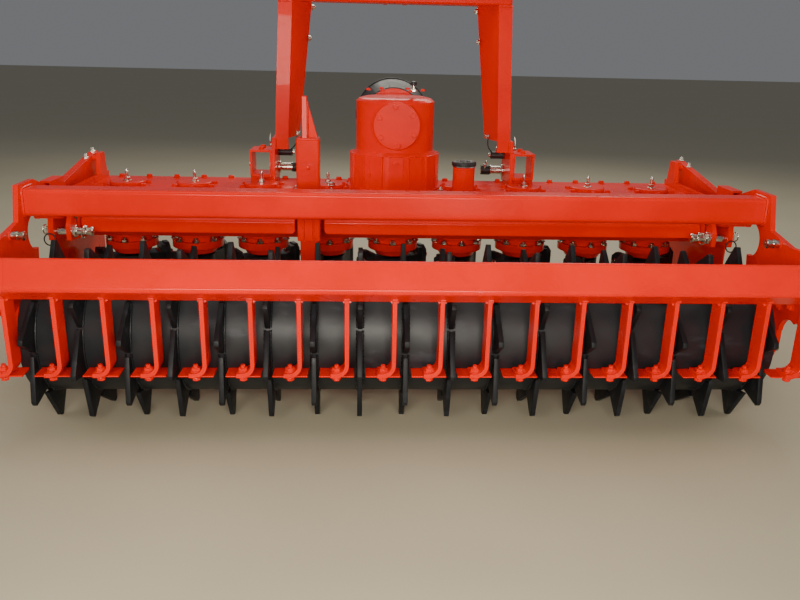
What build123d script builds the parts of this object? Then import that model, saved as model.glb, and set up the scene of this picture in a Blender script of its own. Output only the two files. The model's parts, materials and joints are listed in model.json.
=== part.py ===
"""Power harrow with a toothed packer roller, built as the real machine is built.

Millimetres, +Z up, +Y the direction of travel, +X to the right as seen from behind.
The floor is z = 0: the machine stands on its tine tips and on the roller's teeth.
The origin lies on the floor under the middle of the machine's bounding box.
"""
import os
from math import asin, cos, degrees, radians, sin, sqrt

from build123d import *

os.makedirs("parts", exist_ok=True)

# Rotor row
rotor_count = 9
rotor_pitch = 250.0
rotor_to_roller = 800.0
rotor_rest_angle = 28.0

# Trough that holds the gear train
trough_floor_z = 365.0
trough_top_z = 520.0
trough_floor_half = 120.0
trough_half = 160.0
trough_flange_half = 190.0
trough_flange_thick = 14.0
trough_shoulder_z = 405.0
lid_thick = 15.0
end_plate_thick = 18.0
end_plate_rise = 20.0
cap_r = 64.0
cap_height = 14.0

# Bearing carriers under the trough, tine holders and tines
carrier_flange_r = 96.0
carrier_pad_height = 14.0
carrier_neck_r = 78.0
carrier_flange_top_z = 331.0
carrier_flange_bottom_z = 303.0
carrier_bottom_z = 280.0
carrier_bottom_r = 66.0
shaft_r = 30.0
running_gap = 0.3
carrier_bore_roof = 6.0
holder_top_z = 270.0
holder_height = 48.0
holder_half_width = 36.0
holder_waist_half = 52.0
holder_hub_r = 60.0
shaft_end_gap = 29.0
holder_ear_top_z = 296.0
holder_ear_thick = 18.0
tine_seat_r = 116.0
tine_thick = 18.0
tine_head_half = 38.0
tine_top_z = 302.0
tine_shoulder = 16.0
tine_neck_z = 205.0
tine_tip_half = 13.0
tine_belly = 7.0

# Gearbox on the middle rotor and its power input
gearbox_base_r = 166.0
gearbox_shoulder_z = 678.0
gearbox_drum_r = 144.0
gearbox_top_z = 862.0
gearbox_crown = 12.0
gearbox_foot_width = 10.0
gearbox_foot_height = 14.0
gearbox_rib_count = 14
gearbox_rib_depth = 7.0
gearbox_rib_width = 50.0
input_z = 780.0
input_nose_r = 92.0
input_nose_front = 168.0
rear_cover_r = 84.0
rear_cover_thick = 12.0
rear_cover_back = 166.0
rear_boss_depth = 100.0
pto_shaft_r = 17.4
pto_spline_depth = 2.6
pto_groove_width = 9.5
pto_shaft_length = 102.0
pto_hub_r = 30.0
pto_hub_seat = 48.0
pto_hub_proud = 6.0
guard_root_r = 118.0
guard_mouth_r = 148.0
guard_wall = 6.0
guard_bead = 5.0
guard_hub_gap = 14.0
guard_front = 320.0
filler_x = 252.0
filler_back = 106.0
filler_r = 40.0
filler_top_z = 638.0
filler_cap_height = 16.0

# Three-point headstock
link_pin_z = 575.0
link_pin_ahead = 222.0
link_pin_r = 14.2
link_pin_free = 84.0
link_pin_shoulder_r = 17.0
link_pin_collar_r = 24.0
link_pin_collar = 8.0
link_pin_nut = 18.0
link_pin_thread_r = 12.0
hitch_plate_x = 455.0
hitch_plate_thick = 12.0
hitch_plate_top_z = 705.0
hitch_plate_back = 60.0
hitch_plate_nose_r = 48.0
hitch_plate_heel = 50.0
leg_foot_z = 662.0
side_box_width = 84.0
side_box_length = 118.0
side_box_height = 100.0
side_box_wall = 8.0
side_box_lift = 25.0
side_box_inset = 10.0
leg_width = 50.0
leg_thick = 12.0
leg_depth = 116.0
leg_back = 92.0
leg_top_x = 406.0
leg_foot_web_x = 370.0
leg_top_web_x = 316.0
crossbar_bottom_z = 1200.0
crossbar_height = 88.0
top_pin_z = 1246.0
top_pin_r = 12.9
top_ear_gap = 62.0
top_ear_thick = 14.0
top_ear_reach = 84.0
top_ear_r = 38.0

# Packer roller
ring_pitch = 125.0
teeth_per_ring = 8
tip_r = 255.0
drum_r = 175.0
tooth_thick = 15.0
tooth_root = 8.0
tooth_tip_half = 7.0
tooth_base_back = 60.0
tooth_base_front = 10.0
stub_r = 30.0
stub_hub_r = 58.0
stub_hub_length = 18.0
bearing_gap = 6.0

# Roller frame, measured from the roller axis
arm_thick = 15.0
arm_rear_reach = 72.0
beam_size = 90.0
beam_corner = 12.0
beam_tip_gap = 63.0
lower_beam_angle = 43.2
lower_beam_tilt = 32.0
upper_beam_size = 80.0
upper_beam_ahead = 142.0
upper_beam_up = 345.0
hinge_ahead = 460.0
hinge_z = 518.0
hinge_pin_r = 15.0
hinge_lobe_r = 42.0
pin_proud = 2.0
bearing_flange_r = 70.0
bearing_length = 34.0
axle_hole_gap = 4.0
arm_margin = 14.0
arm_notch_r = 52.0
arm_notch_ahead = 166.0
arm_notch_up = 247.0
arm_arch_r = 50.0
arm_arch_back = 124.0
arm_arch_up = 30.0
cheek_gap = 12.0
cheek_thick = 15.0
cheek_lip = 26.0
cheek_web = 12.0
end_socket = 36.0
end_socket_wall = 7.0
end_socket_length = 110.0
end_socket_back = 75.0
end_socket_top_z = 612.0
depth_pin_ahead = 398.0
depth_pin_z = 446.0
depth_pin_r = 12.0
depth_pin_collar_r = 20.0
depth_pin_grip = 56.0
stop_pin_z = 525.0
stop_pin_r = 11.0
stop_pin_length = 36.0

# Scrapers
scraper_bar_thick = 12.0
scraper_bar_width = 56.0
scraper_bar_gap = 11.0
scraper_bar_offset = 28.0
scraper_bar_sink = 30.0
scraper_bend_r = 30.0
scraper_foot_drop = 45.0
scraper_foot_length = 44.0
scraper_plate_width = 94.0
scraper_plate_length = 58.0
scraper_plate_thick = 4.0
scraper_drum_gap = 1.0

# Rear guard sheet, telescopic stand and side deflectors
guard_sheet_thick = 5.0
guard_end_gap = 3.0
guard_lip_back = 330.0
guard_lip_corner_r = 14.0
guard_seat = 12.0
guard_brow = 40.0
guard_bend_r = 12.0
guard_lip_top_z = 470.0
guard_lip_bottom_z = 428.0
guard_stand_gap = 12.0
stand_x = -300.0
stand_back = 350.0
stand_tube = 76.0
stand_tube_wall = 8.5
stand_tube_bottom_z = 416.0
stand_tube_top_z = 752.0
stand_clearance = 0.5
stand_leg_top_z = 490.0
stand_foot = 110.0
stand_foot_thick = 10.0
stand_blade_top_z = 890.0
stand_blade_thick = 16.0
stand_blade_aside = 10.0
stand_blade_half = 26.0
stand_blade_top_half = 14.0
stand_gusset_thick = 8.0
stand_gusset_step = 12.0
deflector_inner_x = 1165.0
deflector_plate_thick = 6.0
deflector_bar = 26.0
deflector_hinge_ahead = 130.0
deflector_hinge_z = 612.0
deflector_slope = 9.2
deflector_front = 185.0
deflector_back = 330.0
deflector_bottom_z = 95.0
deflector_pin_r = 10.0
deflector_pin_end = 32.0
deflector_ear_half = 22.0
deflector_back_cut = 60.0
deflector_front_cut = 90.0

# Places that follow from the sizes above
rotor_half_span = (rotor_count - 1) * rotor_pitch / 2
trough_half_length = rotor_count * rotor_pitch / 2
lower_beam_back = (tip_r + beam_tip_gap) * cos(radians(lower_beam_angle))
lower_beam_up = (tip_r + beam_tip_gap) * sin(radians(lower_beam_angle))
machine_length = guard_front + rotor_to_roller + lower_beam_back + arm_rear_reach
rotor_y = machine_length / 2 - guard_front
roller_y = rotor_y - rotor_to_roller
tooth_step = 360 / teeth_per_ring
resting_tooth_angle = tooth_step / 4
tip_half_angle = degrees(asin(tooth_tip_half / tip_r))
roller_z = tip_r * cos(radians(resting_tooth_angle - tip_half_angle))
lid_top_z = trough_top_z + lid_thick
lower_beam_y = roller_y - lower_beam_back
lower_beam_z = roller_z + lower_beam_up
hinge_y = roller_y + hinge_ahead
depth_pin_y = roller_y + depth_pin_ahead
deflector_hinge_y = rotor_y + deflector_hinge_ahead
upper_beam_y = roller_y + upper_beam_ahead
upper_beam_z = roller_z + upper_beam_up
arm_outer_x = trough_half_length - cheek_gap
arm_inner_x = arm_outer_x - arm_thick
inner_cheek_x = arm_inner_x - cheek_gap - cheek_thick
end_plate_outer_x = trough_half_length + end_plate_thick
drum_half = arm_inner_x - bearing_length - bearing_gap - stub_hub_length
scraper_bar_back = drum_r + scraper_bar_gap + scraper_bar_width
scraper_foot_z = roller_z - scraper_foot_drop
link_pin_y = rotor_y + link_pin_ahead
leg_y = rotor_y + leg_back
stand_y = rotor_y - stand_back
stand_leg_size = stand_tube - 2 * stand_tube_wall - 2 * stand_clearance
leg_foot_x = hitch_plate_x - leg_width / 2
ring_count = 2 * int((drum_half - tooth_thick) / ring_pitch) + 1
rotor_xs = [-rotor_half_span + k * rotor_pitch for k in range(rotor_count)]
ring_half_span = (ring_count - 1) * ring_pitch / 2
ring_xs = [-ring_half_span + k * ring_pitch for k in range(ring_count)]
scraper_xs = [-ring_half_span - ring_pitch / 2 + k * ring_pitch for k in range(ring_count + 1)]
SIDES = (("left", -1), ("right", 1))
UP = (Align.CENTER, Align.CENTER, Align.MIN)


def save(piece, name):
    """Label a finished piece and write it under its own name."""
    piece.part.label = name
    export_step(piece.part, f"parts/{name}.step")


def across(x_one, x_two):
    """Plane of a plate that stands in the Y-Z plane, and its thickness, between two X places."""
    return Plane.YZ.offset(min(x_one, x_two)), abs(x_two - x_one)


# Trough: folded casing with sloping lower sides and a bolted flange round its top
with BuildPart() as trough:
    with BuildSketch(Plane.YZ.offset(-trough_half_length)):
        with BuildLine():
            Polyline(
                (rotor_y - trough_floor_half, trough_floor_z),
                (rotor_y + trough_floor_half, trough_floor_z),
                (rotor_y + trough_half, trough_shoulder_z),
                (rotor_y + trough_half, trough_top_z - trough_flange_thick),
                (rotor_y + trough_flange_half, trough_top_z - trough_flange_thick),
                (rotor_y + trough_flange_half, trough_top_z),
                (rotor_y - trough_flange_half, trough_top_z),
                (rotor_y - trough_flange_half, trough_top_z - trough_flange_thick),
                (rotor_y - trough_half, trough_top_z - trough_flange_thick),
                (rotor_y - trough_half, trough_shoulder_z),
                close=True,
            )
        make_face()
    extrude(amount=2 * trough_half_length)
save(trough, "trough")

# Lid: thick cover plate, with a round cap over each outer rotor's upper bearing
with BuildPart() as trough_lid:
    with Locations((0, rotor_y, trough_top_z)):
        Box(2 * trough_half_length, 2 * trough_flange_half, lid_thick, align=UP)
save(trough_lid, "trough_lid")

with BuildPart() as bearing_caps:
    with Locations(*[(x, rotor_y, lid_top_z) for x in rotor_xs if abs(x) > gearbox_base_r + cap_r]):
        Cylinder(cap_r, cap_height, align=UP)
    chamfer(bearing_caps.faces().group_by(Axis.Z)[-1].edges(), cap_height / 4)
save(bearing_caps, "bearing_caps")

# Bearing carriers under the trough, one for each rotor's shaft: a pad, a neck, a flange and a cone
carrier_pad_z = trough_floor_z - carrier_pad_height
with BuildPart() as bearing_carriers:
    for radius, bottom_z, top_z in (
        (carrier_flange_r, carrier_pad_z, trough_floor_z),
        (carrier_neck_r, carrier_flange_top_z, carrier_pad_z),
        (carrier_flange_r, carrier_flange_bottom_z, carrier_flange_top_z),
    ):
        with Locations(*[(x, rotor_y, bottom_z) for x in rotor_xs]):
            Cylinder(radius, top_z - bottom_z, align=UP)
    with Locations(*[(x, rotor_y, carrier_bottom_z) for x in rotor_xs]):
        Cone(carrier_bottom_r, carrier_neck_r, carrier_flange_bottom_z - carrier_bottom_z, align=UP)
        bore_depth = trough_floor_z - carrier_bottom_z - carrier_bore_roof
        Cylinder(shaft_r + running_gap, bore_depth, align=UP, mode=Mode.SUBTRACT)
save(bearing_carriers, "bearing_carriers")

# Rotors: forged holder with two upturned ears, and two knife tines bolted outside the ears.
# Neighbours turn against each other, so every other rotor is a mirror image.
for number, rotor_x in enumerate(rotor_xs, start=1):
    hand = 1 if number % 2 else -1
    heading = rotor_rest_angle if hand > 0 else 90 - rotor_rest_angle
    rotor_frame = Plane(
        origin=(rotor_x, rotor_y, 0),
        x_dir=(cos(radians(heading)), sin(radians(heading)), 0),
        z_dir=(0, 0, 1),
    )
    holder_bottom_z = holder_top_z - holder_height
    with BuildPart(rotor_frame) as holder:
        with BuildSketch(rotor_frame.offset(holder_bottom_z)):
            Polygon(
                (0, holder_waist_half),
                (tine_seat_r, holder_half_width),
                (tine_seat_r, -holder_half_width),
                (0, -holder_waist_half),
                (-tine_seat_r, -holder_half_width),
                (-tine_seat_r, holder_half_width),
                align=None,
            )
            Circle(holder_hub_r)
        extrude(amount=holder_height)
        with Locations((0, 0, holder_bottom_z)):
            Cylinder(shaft_r, trough_floor_z - shaft_end_gap - holder_bottom_z, align=UP)
        ear_middle = tine_seat_r - holder_ear_thick / 2
        with Locations((ear_middle, 0, holder_bottom_z), (-ear_middle, 0, holder_bottom_z)):
            Box(holder_ear_thick, 2 * holder_half_width, holder_ear_top_z - holder_bottom_z, align=UP)
    with BuildPart() as rotor:
        add(holder.part)
        for turn in (1, -1):
            seat = Plane(
                origin=(
                    rotor_x + turn * tine_seat_r * cos(radians(heading)),
                    rotor_y + turn * tine_seat_r * sin(radians(heading)),
                    0,
                ),
                x_dir=(-turn * sin(radians(heading)), turn * cos(radians(heading)), 0),
                z_dir=(turn * cos(radians(heading)), turn * sin(radians(heading)), 0),
            )
            lead = hand * tine_head_half
            tip = -lead + hand * 2 * tine_tip_half
            with BuildSketch(seat):
                with BuildLine():
                    Polyline(
                        (tip, 0),
                        (-lead, 0),
                        (-lead, tine_top_z - tine_shoulder),
                        (-lead / 2, tine_top_z),
                        (lead / 2, tine_top_z),
                        (lead, tine_top_z - tine_shoulder),
                        (lead, tine_neck_z),
                    )
                    ThreePointArc(
                        (lead, tine_neck_z),
                        ((lead + tip) / 2 + hand * tine_belly, tine_neck_z / 2),
                        (tip, 0),
                    )
                make_face()
            extrude(amount=tine_thick)
    save(rotor, f"rotor_{number}")

# Gearbox: ribbed flared base, round drum above, nose for the power input in front
with BuildPart() as gearbox_housing:
    with BuildSketch(Plane.XZ.offset(-rotor_y)):
        with BuildLine():
            Polyline(
                (0, lid_top_z),
                (gearbox_base_r + gearbox_foot_width, lid_top_z),
                (gearbox_base_r + gearbox_foot_width, lid_top_z + gearbox_foot_height),
                (gearbox_base_r, lid_top_z + gearbox_foot_height),
                (gearbox_base_r - 8, gearbox_shoulder_z - 8),
                (gearbox_drum_r, gearbox_shoulder_z + 6),
                (gearbox_drum_r, gearbox_top_z - gearbox_crown / 3),
                (gearbox_drum_r - gearbox_crown, gearbox_top_z + gearbox_crown / 2),
                (gearbox_drum_r - 3 * gearbox_crown, gearbox_top_z + gearbox_crown),
                (0, gearbox_top_z + gearbox_crown),
                close=True,
            )
        make_face()
    revolve(axis=Axis((0, rotor_y, 0), (0, 0, 1)))
    with Locations((0, rotor_y, lid_top_z)):
        with PolarLocations(gearbox_base_r - gearbox_rib_depth, gearbox_rib_count, start_angle=-90):
            rib_height = gearbox_shoulder_z - lid_top_z - gearbox_rib_depth
            Box(2 * gearbox_rib_depth, gearbox_rib_width, rib_height, align=UP)
    with BuildSketch(Plane.XZ.offset(-(rotor_y + input_nose_front))):
        with Locations((0, input_z)):
            Circle(input_nose_r)
    extrude(amount=input_nose_front)
    with BuildSketch(Plane.XZ.offset(-(rotor_y + input_nose_front))):
        with Locations((0, input_z)):
            Circle(guard_root_r - 4)
    extrude(amount=16)
    with BuildSketch(Plane.XZ.offset(-(rotor_y - rear_cover_back + rear_cover_thick))):
        with Locations((0, input_z)):
            Circle(rear_cover_r - 3)
    extrude(amount=-rear_boss_depth)
    with BuildSketch(Plane.XZ.offset(-(rotor_y + input_nose_front))):
        with Locations((0, input_z)):
            Circle(pto_hub_r + running_gap)
    extrude(amount=pto_hub_seat + 2, mode=Mode.SUBTRACT)
save(gearbox_housing, "gearbox_housing")

with BuildPart() as gearbox_rear_cover:
    with BuildSketch(Plane.XZ.offset(-(rotor_y - rear_cover_back + rear_cover_thick))):
        with Locations((0, input_z)):
            Circle(rear_cover_r)
    extrude(amount=rear_cover_thick)
    chamfer(gearbox_rear_cover.faces().sort_by(Axis.Y)[0].edges(), 3)
save(gearbox_rear_cover, "gearbox_rear_cover")

# Power input: splined shaft in its bearing, inside an open bell guard
with BuildPart() as pto_shaft:
    with BuildSketch(Plane.XZ.offset(-(rotor_y + input_nose_front - pto_hub_seat))):
        with Locations((0, input_z)):
            Circle(pto_hub_r)
    extrude(amount=-pto_hub_seat - pto_hub_proud)
    with BuildSketch(Plane.XZ.offset(-(rotor_y + input_nose_front + pto_hub_proud))):
        with Locations((0, input_z)):
            Circle(pto_shaft_r)
            with PolarLocations(pto_shaft_r, 6):
                Rectangle(2 * pto_spline_depth, pto_groove_width, mode=Mode.SUBTRACT)
    extrude(amount=-pto_shaft_length)
save(pto_shaft, "pto_shaft")

with BuildPart() as pto_guard:
    guard_root_y = rotor_y + input_nose_front
    with BuildSketch(Plane.YZ):
        with BuildLine():
            Polyline(
                (guard_root_y, input_z + pto_hub_r + guard_hub_gap),
                (guard_root_y, input_z + guard_root_r),
                (rotor_y + guard_front - 3 * guard_bead, input_z + guard_mouth_r - guard_bead),
                (rotor_y + guard_front - 2 * guard_bead, input_z + guard_mouth_r),
                (rotor_y + guard_front, input_z + guard_mouth_r),
                (rotor_y + guard_front, input_z + guard_mouth_r - guard_bead - guard_wall),
                (guard_root_y + guard_wall, input_z + guard_root_r - guard_wall),
                (guard_root_y + guard_wall, input_z + pto_hub_r + guard_hub_gap),
                close=True,
            )
        make_face()
    revolve(axis=Axis((0, 0, input_z), (0, 1, 0)))
save(pto_guard, "pto_guard")

# Oil filler beside the gearbox
with BuildPart() as filler_tube:
    with Locations((filler_x, rotor_y - filler_back, lid_top_z)):
        Cylinder(filler_r, filler_top_z - lid_top_z, align=UP)
save(filler_tube, "filler_tube")

with BuildPart() as filler_cap:
    with Locations((filler_x, rotor_y - filler_back, filler_top_z)):
        Cylinder(filler_r + 4, filler_cap_height, align=UP)
    chamfer(filler_cap.faces().sort_by(Axis.Z)[-1].edges(), filler_cap_height / 4)
save(filler_cap, "filler_cap")

# Headstock: a plate bracket, a link pin and a folded leg on each side
plate_rear_y = rotor_y + hitch_plate_back
plate_outer_x = hitch_plate_x + hitch_plate_thick
for side, hand in SIDES:
    with BuildPart() as hitch_bracket:
        plane, thick = across(hand * hitch_plate_x, hand * plate_outer_x)
        with BuildSketch(plane):
            Polygon(
                (plate_rear_y, lid_top_z),
                (rotor_y + trough_flange_half, lid_top_z),
                (link_pin_y + 0.4 * hitch_plate_nose_r, link_pin_z - 0.9 * hitch_plate_nose_r),
                (link_pin_y + hitch_plate_nose_r, link_pin_z),
                (link_pin_y + 0.6 * hitch_plate_nose_r, link_pin_z + 0.8 * hitch_plate_nose_r),
                (leg_y + leg_depth, hitch_plate_top_z),
                (leg_y - 6, hitch_plate_top_z),
                (plate_rear_y, lid_top_z + hitch_plate_heel),
                align=None,
            )
        extrude(amount=thick)
        with BuildSketch(plane):
            with Locations((link_pin_y, link_pin_z)):
                Circle(link_pin_shoulder_r)
        extrude(amount=thick, mode=Mode.SUBTRACT)
        box_x = plate_outer_x + side_box_width / 2
        box_y = plate_rear_y + side_box_inset + side_box_length / 2
        with Locations((hand * box_x, box_y, lid_top_z + side_box_lift)):
            Box(side_box_width, side_box_length, side_box_height, align=UP)
            with Locations((0, 0, side_box_wall)):
                Box(
                    side_box_width - 2 * side_box_wall,
                    side_box_length,
                    side_box_height - 2 * side_box_wall,
                    align=UP,
                    mode=Mode.SUBTRACT,
                )
        with Locations((hand * box_x, box_y, lid_top_z)):
            Box(side_box_width, side_box_length - 2 * side_box_inset, side_box_lift, align=UP)
    save(hitch_bracket, f"hitch_bracket_{side}")

    with BuildPart() as link_pin:
        inner_x = hitch_plate_x - link_pin_collar - link_pin_free
        for radius, length in (
            (link_pin_r, link_pin_free),
            (link_pin_collar_r, link_pin_collar),
            (link_pin_shoulder_r, hitch_plate_thick),
            (link_pin_collar_r, link_pin_nut),
            (link_pin_thread_r, link_pin_nut / 2),
        ):
            plane, thick = across(hand * inner_x, hand * (inner_x + length))
            with BuildSketch(plane):
                with Locations((link_pin_y, link_pin_z)):
                    Circle(radius)
            extrude(amount=thick)
            inner_x += length
    save(link_pin, f"lower_link_pin_{side}")

    # Folded leg: rear flange, slanting web; upright where it is welded, then closing in
    with BuildPart() as leg:
        for level, flange_x, web_x in (
            (hitch_plate_top_z, leg_foot_x, leg_foot_web_x),
            (crossbar_bottom_z, leg_top_x, leg_top_web_x),
        ):
            with BuildSketch(Plane.XY.offset(level)):
                with BuildLine():
                    Polyline(
                        (hand * (flange_x + leg_width / 2), leg_y),
                        (hand * (flange_x - leg_width / 2), leg_y),
                        (hand * web_x, leg_y + leg_depth),
                        (hand * (web_x + leg_thick), leg_y + leg_depth),
                        (hand * (flange_x - leg_width / 2 + leg_thick * 0.7), leg_y + leg_thick),
                        (hand * (flange_x + leg_width / 2), leg_y + leg_thick),
                        close=True,
                    )
                make_face()
        loft()
        with Locations((hand * leg_foot_x, leg_y, leg_foot_z)):
            Box(
                leg_width,
                leg_thick,
                hitch_plate_top_z - leg_foot_z,
                align=(Align.CENTER, Align.MIN, Align.MIN),
            )
    save(leg, f"headstock_leg_{side}")

with BuildPart() as headstock_crossbar:
    with Locations((0, leg_y + leg_depth / 2, crossbar_bottom_z)):
        Box(2 * leg_top_x + leg_width, leg_depth, crossbar_height, align=UP)
save(headstock_crossbar, "headstock_crossbar")

top_pin_y = leg_y + leg_depth + top_ear_reach - top_ear_r
with BuildPart() as top_link_bracket:
    for hand in (-1, 1):
        plane, thick = across(hand * top_ear_gap / 2, hand * (top_ear_gap / 2 + top_ear_thick))
        with BuildSketch(plane):
            with Locations((leg_y + leg_depth, crossbar_bottom_z)):
                Rectangle(
                    top_ear_reach - top_ear_r, crossbar_height, align=(Align.MIN, Align.MIN))
            with Locations((top_pin_y, top_pin_z)):
                Circle(top_ear_r)
                Circle(top_pin_r, mode=Mode.SUBTRACT)
        extrude(amount=thick)
save(top_link_bracket, "top_link_bracket")

# Trough ends: the end plate runs back as the outer cheek of the roller arm's hinge, and an
# inner cheek stands against the trough's wall, with a web between the two
flange_back_y = rotor_y - trough_flange_half
socket_back_y = hinge_y - end_socket_back
socket_bottom_z = end_socket_top_z - end_socket
cheek_top_z = hinge_z + hinge_lobe_r
cheek_back_y = depth_pin_y - cheek_lip
for side, hand in SIDES:
    with BuildPart() as trough_end:
        plane, thick = across(hand * trough_half_length, hand * end_plate_outer_x)
        with BuildSketch(plane):
            Polygon(
                (rotor_y + trough_flange_half, lid_top_z + end_plate_rise),
                (rotor_y + trough_flange_half, trough_shoulder_z),
                (rotor_y + trough_floor_half, trough_floor_z),
                (rotor_y - trough_floor_half, trough_floor_z),
                (flange_back_y, trough_shoulder_z - cheek_lip),
                (hinge_y, depth_pin_z - 1.4 * cheek_lip),
                (cheek_back_y, depth_pin_z - cheek_lip),
                (cheek_back_y, depth_pin_z + 0.8 * cheek_lip),
                (socket_back_y + end_socket_wall, hinge_z + hinge_lobe_r / 2),
                (socket_back_y, socket_bottom_z),
                (socket_back_y + end_socket_length, socket_bottom_z),
                (flange_back_y, lid_top_z + end_plate_rise),
                align=None,
            )
            Polygon(
                (deflector_hinge_y - 2 * deflector_ear_half, lid_top_z),
                (deflector_hinge_y + 2 * deflector_ear_half, lid_top_z),
                (deflector_hinge_y + deflector_ear_half, deflector_hinge_z + deflector_ear_half),
                (deflector_hinge_y - deflector_ear_half, deflector_hinge_z + deflector_ear_half),
                align=None,
            )
        extrude(amount=thick)
        plane, thick = across(hand * inner_cheek_x, hand * (inner_cheek_x + cheek_thick))
        with BuildSketch(plane):
            Polygon(
                (rotor_y - trough_half, trough_top_z - trough_flange_thick),
                (flange_back_y, trough_top_z - trough_flange_thick),
                (flange_back_y, lid_top_z),
                (hinge_y + 1.5 * hinge_lobe_r, cheek_top_z),
                (hinge_y - hinge_lobe_r, cheek_top_z),
                (hinge_y - 1.2 * hinge_lobe_r, hinge_z),
                (cheek_back_y, depth_pin_z + 0.8 * cheek_lip),
                (cheek_back_y, depth_pin_z - cheek_lip),
                (hinge_y, depth_pin_z - 1.4 * cheek_lip),
                (rotor_y - trough_half, trough_shoulder_z - 0.8 * cheek_lip),
                align=None,
            )
        extrude(amount=thick)
        web_x = (inner_cheek_x + trough_half_length) / 2
        web_bottom_z = depth_pin_z - cheek_lip
        with Locations((hand * web_x, hinge_y + hinge_lobe_r + 2 * cheek_web, web_bottom_z)):
            web_height = trough_top_z - cheek_web - web_bottom_z
            Box(trough_half_length - inner_cheek_x + 1, cheek_web, web_height, align=UP)
        for pin_y, pin_z, radius in (
            (hinge_y, hinge_z, hinge_pin_r),
            (depth_pin_y, depth_pin_z, depth_pin_r),
        ):
            plane, thick = across(hand * inner_cheek_x, hand * end_plate_outer_x)
            with BuildSketch(plane):
                with Locations((pin_y, pin_z)):
                    Circle(radius)
            extrude(amount=thick, mode=Mode.SUBTRACT)

        # Square socket on the plate's top edge, open to the back and to the front
        socket_x = hand * (end_plate_outer_x - end_plate_thick / 4)
        with BuildSketch(Plane.XZ.offset(-socket_back_y)):
            with Locations((socket_x, end_socket_top_z - end_socket / 2)):
                Rectangle(end_socket, end_socket)
                hole = end_socket - 2 * end_socket_wall
                Rectangle(hole, hole, mode=Mode.SUBTRACT)
        extrude(amount=-end_socket_length)
        plane, thick = across(hand * end_plate_outer_x, hand * (deflector_inner_x + deflector_pin_end))
        with BuildSketch(plane):
            with Locations((deflector_hinge_y, deflector_hinge_z)):
                Circle(deflector_pin_r)
        extrude(amount=thick)
    save(trough_end, f"trough_end_{side}")

with BuildPart() as hinge_pins:
    for side, hand in SIDES:
        plane, thick = across(hand * (inner_cheek_x - hinge_pin_r), hand * (end_plate_outer_x + pin_proud))
        with BuildSketch(plane):
            with Locations((hinge_y, hinge_z)):
                Circle(hinge_pin_r)
        extrude(amount=thick)
save(hinge_pins, "hinge_pins")

with BuildPart() as depth_pins:
    for side, hand in SIDES:
        for radius, inner_x, outer_x in (
            (depth_pin_r, inner_cheek_x - depth_pin_grip, end_plate_outer_x + pin_proud),
            (depth_pin_collar_r, inner_cheek_x - depth_pin_r, inner_cheek_x),
        ):
            plane, thick = across(hand * inner_x, hand * outer_x)
            with BuildSketch(plane):
                with Locations((depth_pin_y, depth_pin_z)):
                    Circle(radius)
            extrude(amount=thick)
save(depth_pins, "depth_pins")

# Side deflectors: bar and plate that float beside the outer rotors
bar_rise = sin(radians(deflector_slope)) / cos(radians(deflector_slope))
for side, hand in SIDES:
    front_y = rotor_y + deflector_front
    back_y = rotor_y - deflector_back
    front_z = deflector_hinge_z + (front_y - deflector_hinge_y) * bar_rise
    back_z = deflector_hinge_z + (back_y - deflector_hinge_y) * bar_rise
    with BuildPart() as deflector:
        plane, thick = across(hand * deflector_inner_x, hand * (deflector_inner_x + deflector_plate_thick))
        with BuildSketch(plane):
            Polygon(
                (front_y, front_z),
                (back_y, back_z),
                (back_y, deflector_bottom_z + deflector_back_cut),
                (back_y + deflector_back_cut, deflector_bottom_z),
                (front_y - deflector_front_cut, deflector_bottom_z),
                (front_y, deflector_bottom_z + 1.3 * deflector_front_cut),
                align=None,
            )
        extrude(amount=thick)
        plane, thick = across(hand * (deflector_inner_x - 3), hand * (deflector_inner_x - 3 + deflector_bar))
        with BuildSketch(plane):
            Polygon(
                (front_y, front_z - deflector_bar / 2),
                (front_y, front_z + deflector_bar / 2),
                (back_y, back_z + deflector_bar / 2),
                (back_y, back_z - deflector_bar / 2),
                align=None,
            )
        extrude(amount=thick)
        plane, thick = across(hand * (deflector_inner_x - 5), hand * (deflector_inner_x + deflector_pin_end))
        with BuildSketch(plane):
            with Locations((deflector_hinge_y, deflector_hinge_z)):
                Circle(deflector_pin_r + running_gap)
        extrude(amount=thick, mode=Mode.SUBTRACT)
    save(deflector, f"side_deflector_{side}")

# Rear guard: bent sheet from the trough flange, in two lengths beside the stand
guard_sheet_half = inner_cheek_x - guard_end_gap
stand_gap_half = stand_tube / 2 + guard_stand_gap
lip_y = rotor_y - guard_lip_back
for side, start_x, end_x in (
    ("left", -guard_sheet_half, stand_x - stand_gap_half),
    ("right", stand_x + stand_gap_half, guard_sheet_half),
):
    with BuildPart() as rear_guard:
        with BuildSketch(Plane.YZ.offset(start_x)):
            with BuildLine():
                FilletPolyline(
                    (lip_y, guard_lip_bottom_z),
                    (lip_y, guard_lip_top_z),
                    (flange_back_y - guard_brow, lid_top_z + guard_sheet_thick / 2),
                    (flange_back_y + guard_seat, lid_top_z + guard_sheet_thick / 2),
                    radius=guard_bend_r,
                )
            trace(line_width=guard_sheet_thick)
        extrude(amount=end_x - start_x)
        lip_corners = rear_guard.edges().filter_by(Axis.Y).group_by(Axis.Z)[0]
        fillet(lip_corners, guard_lip_corner_r)
    save(rear_guard, f"rear_guard_{side}")

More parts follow.
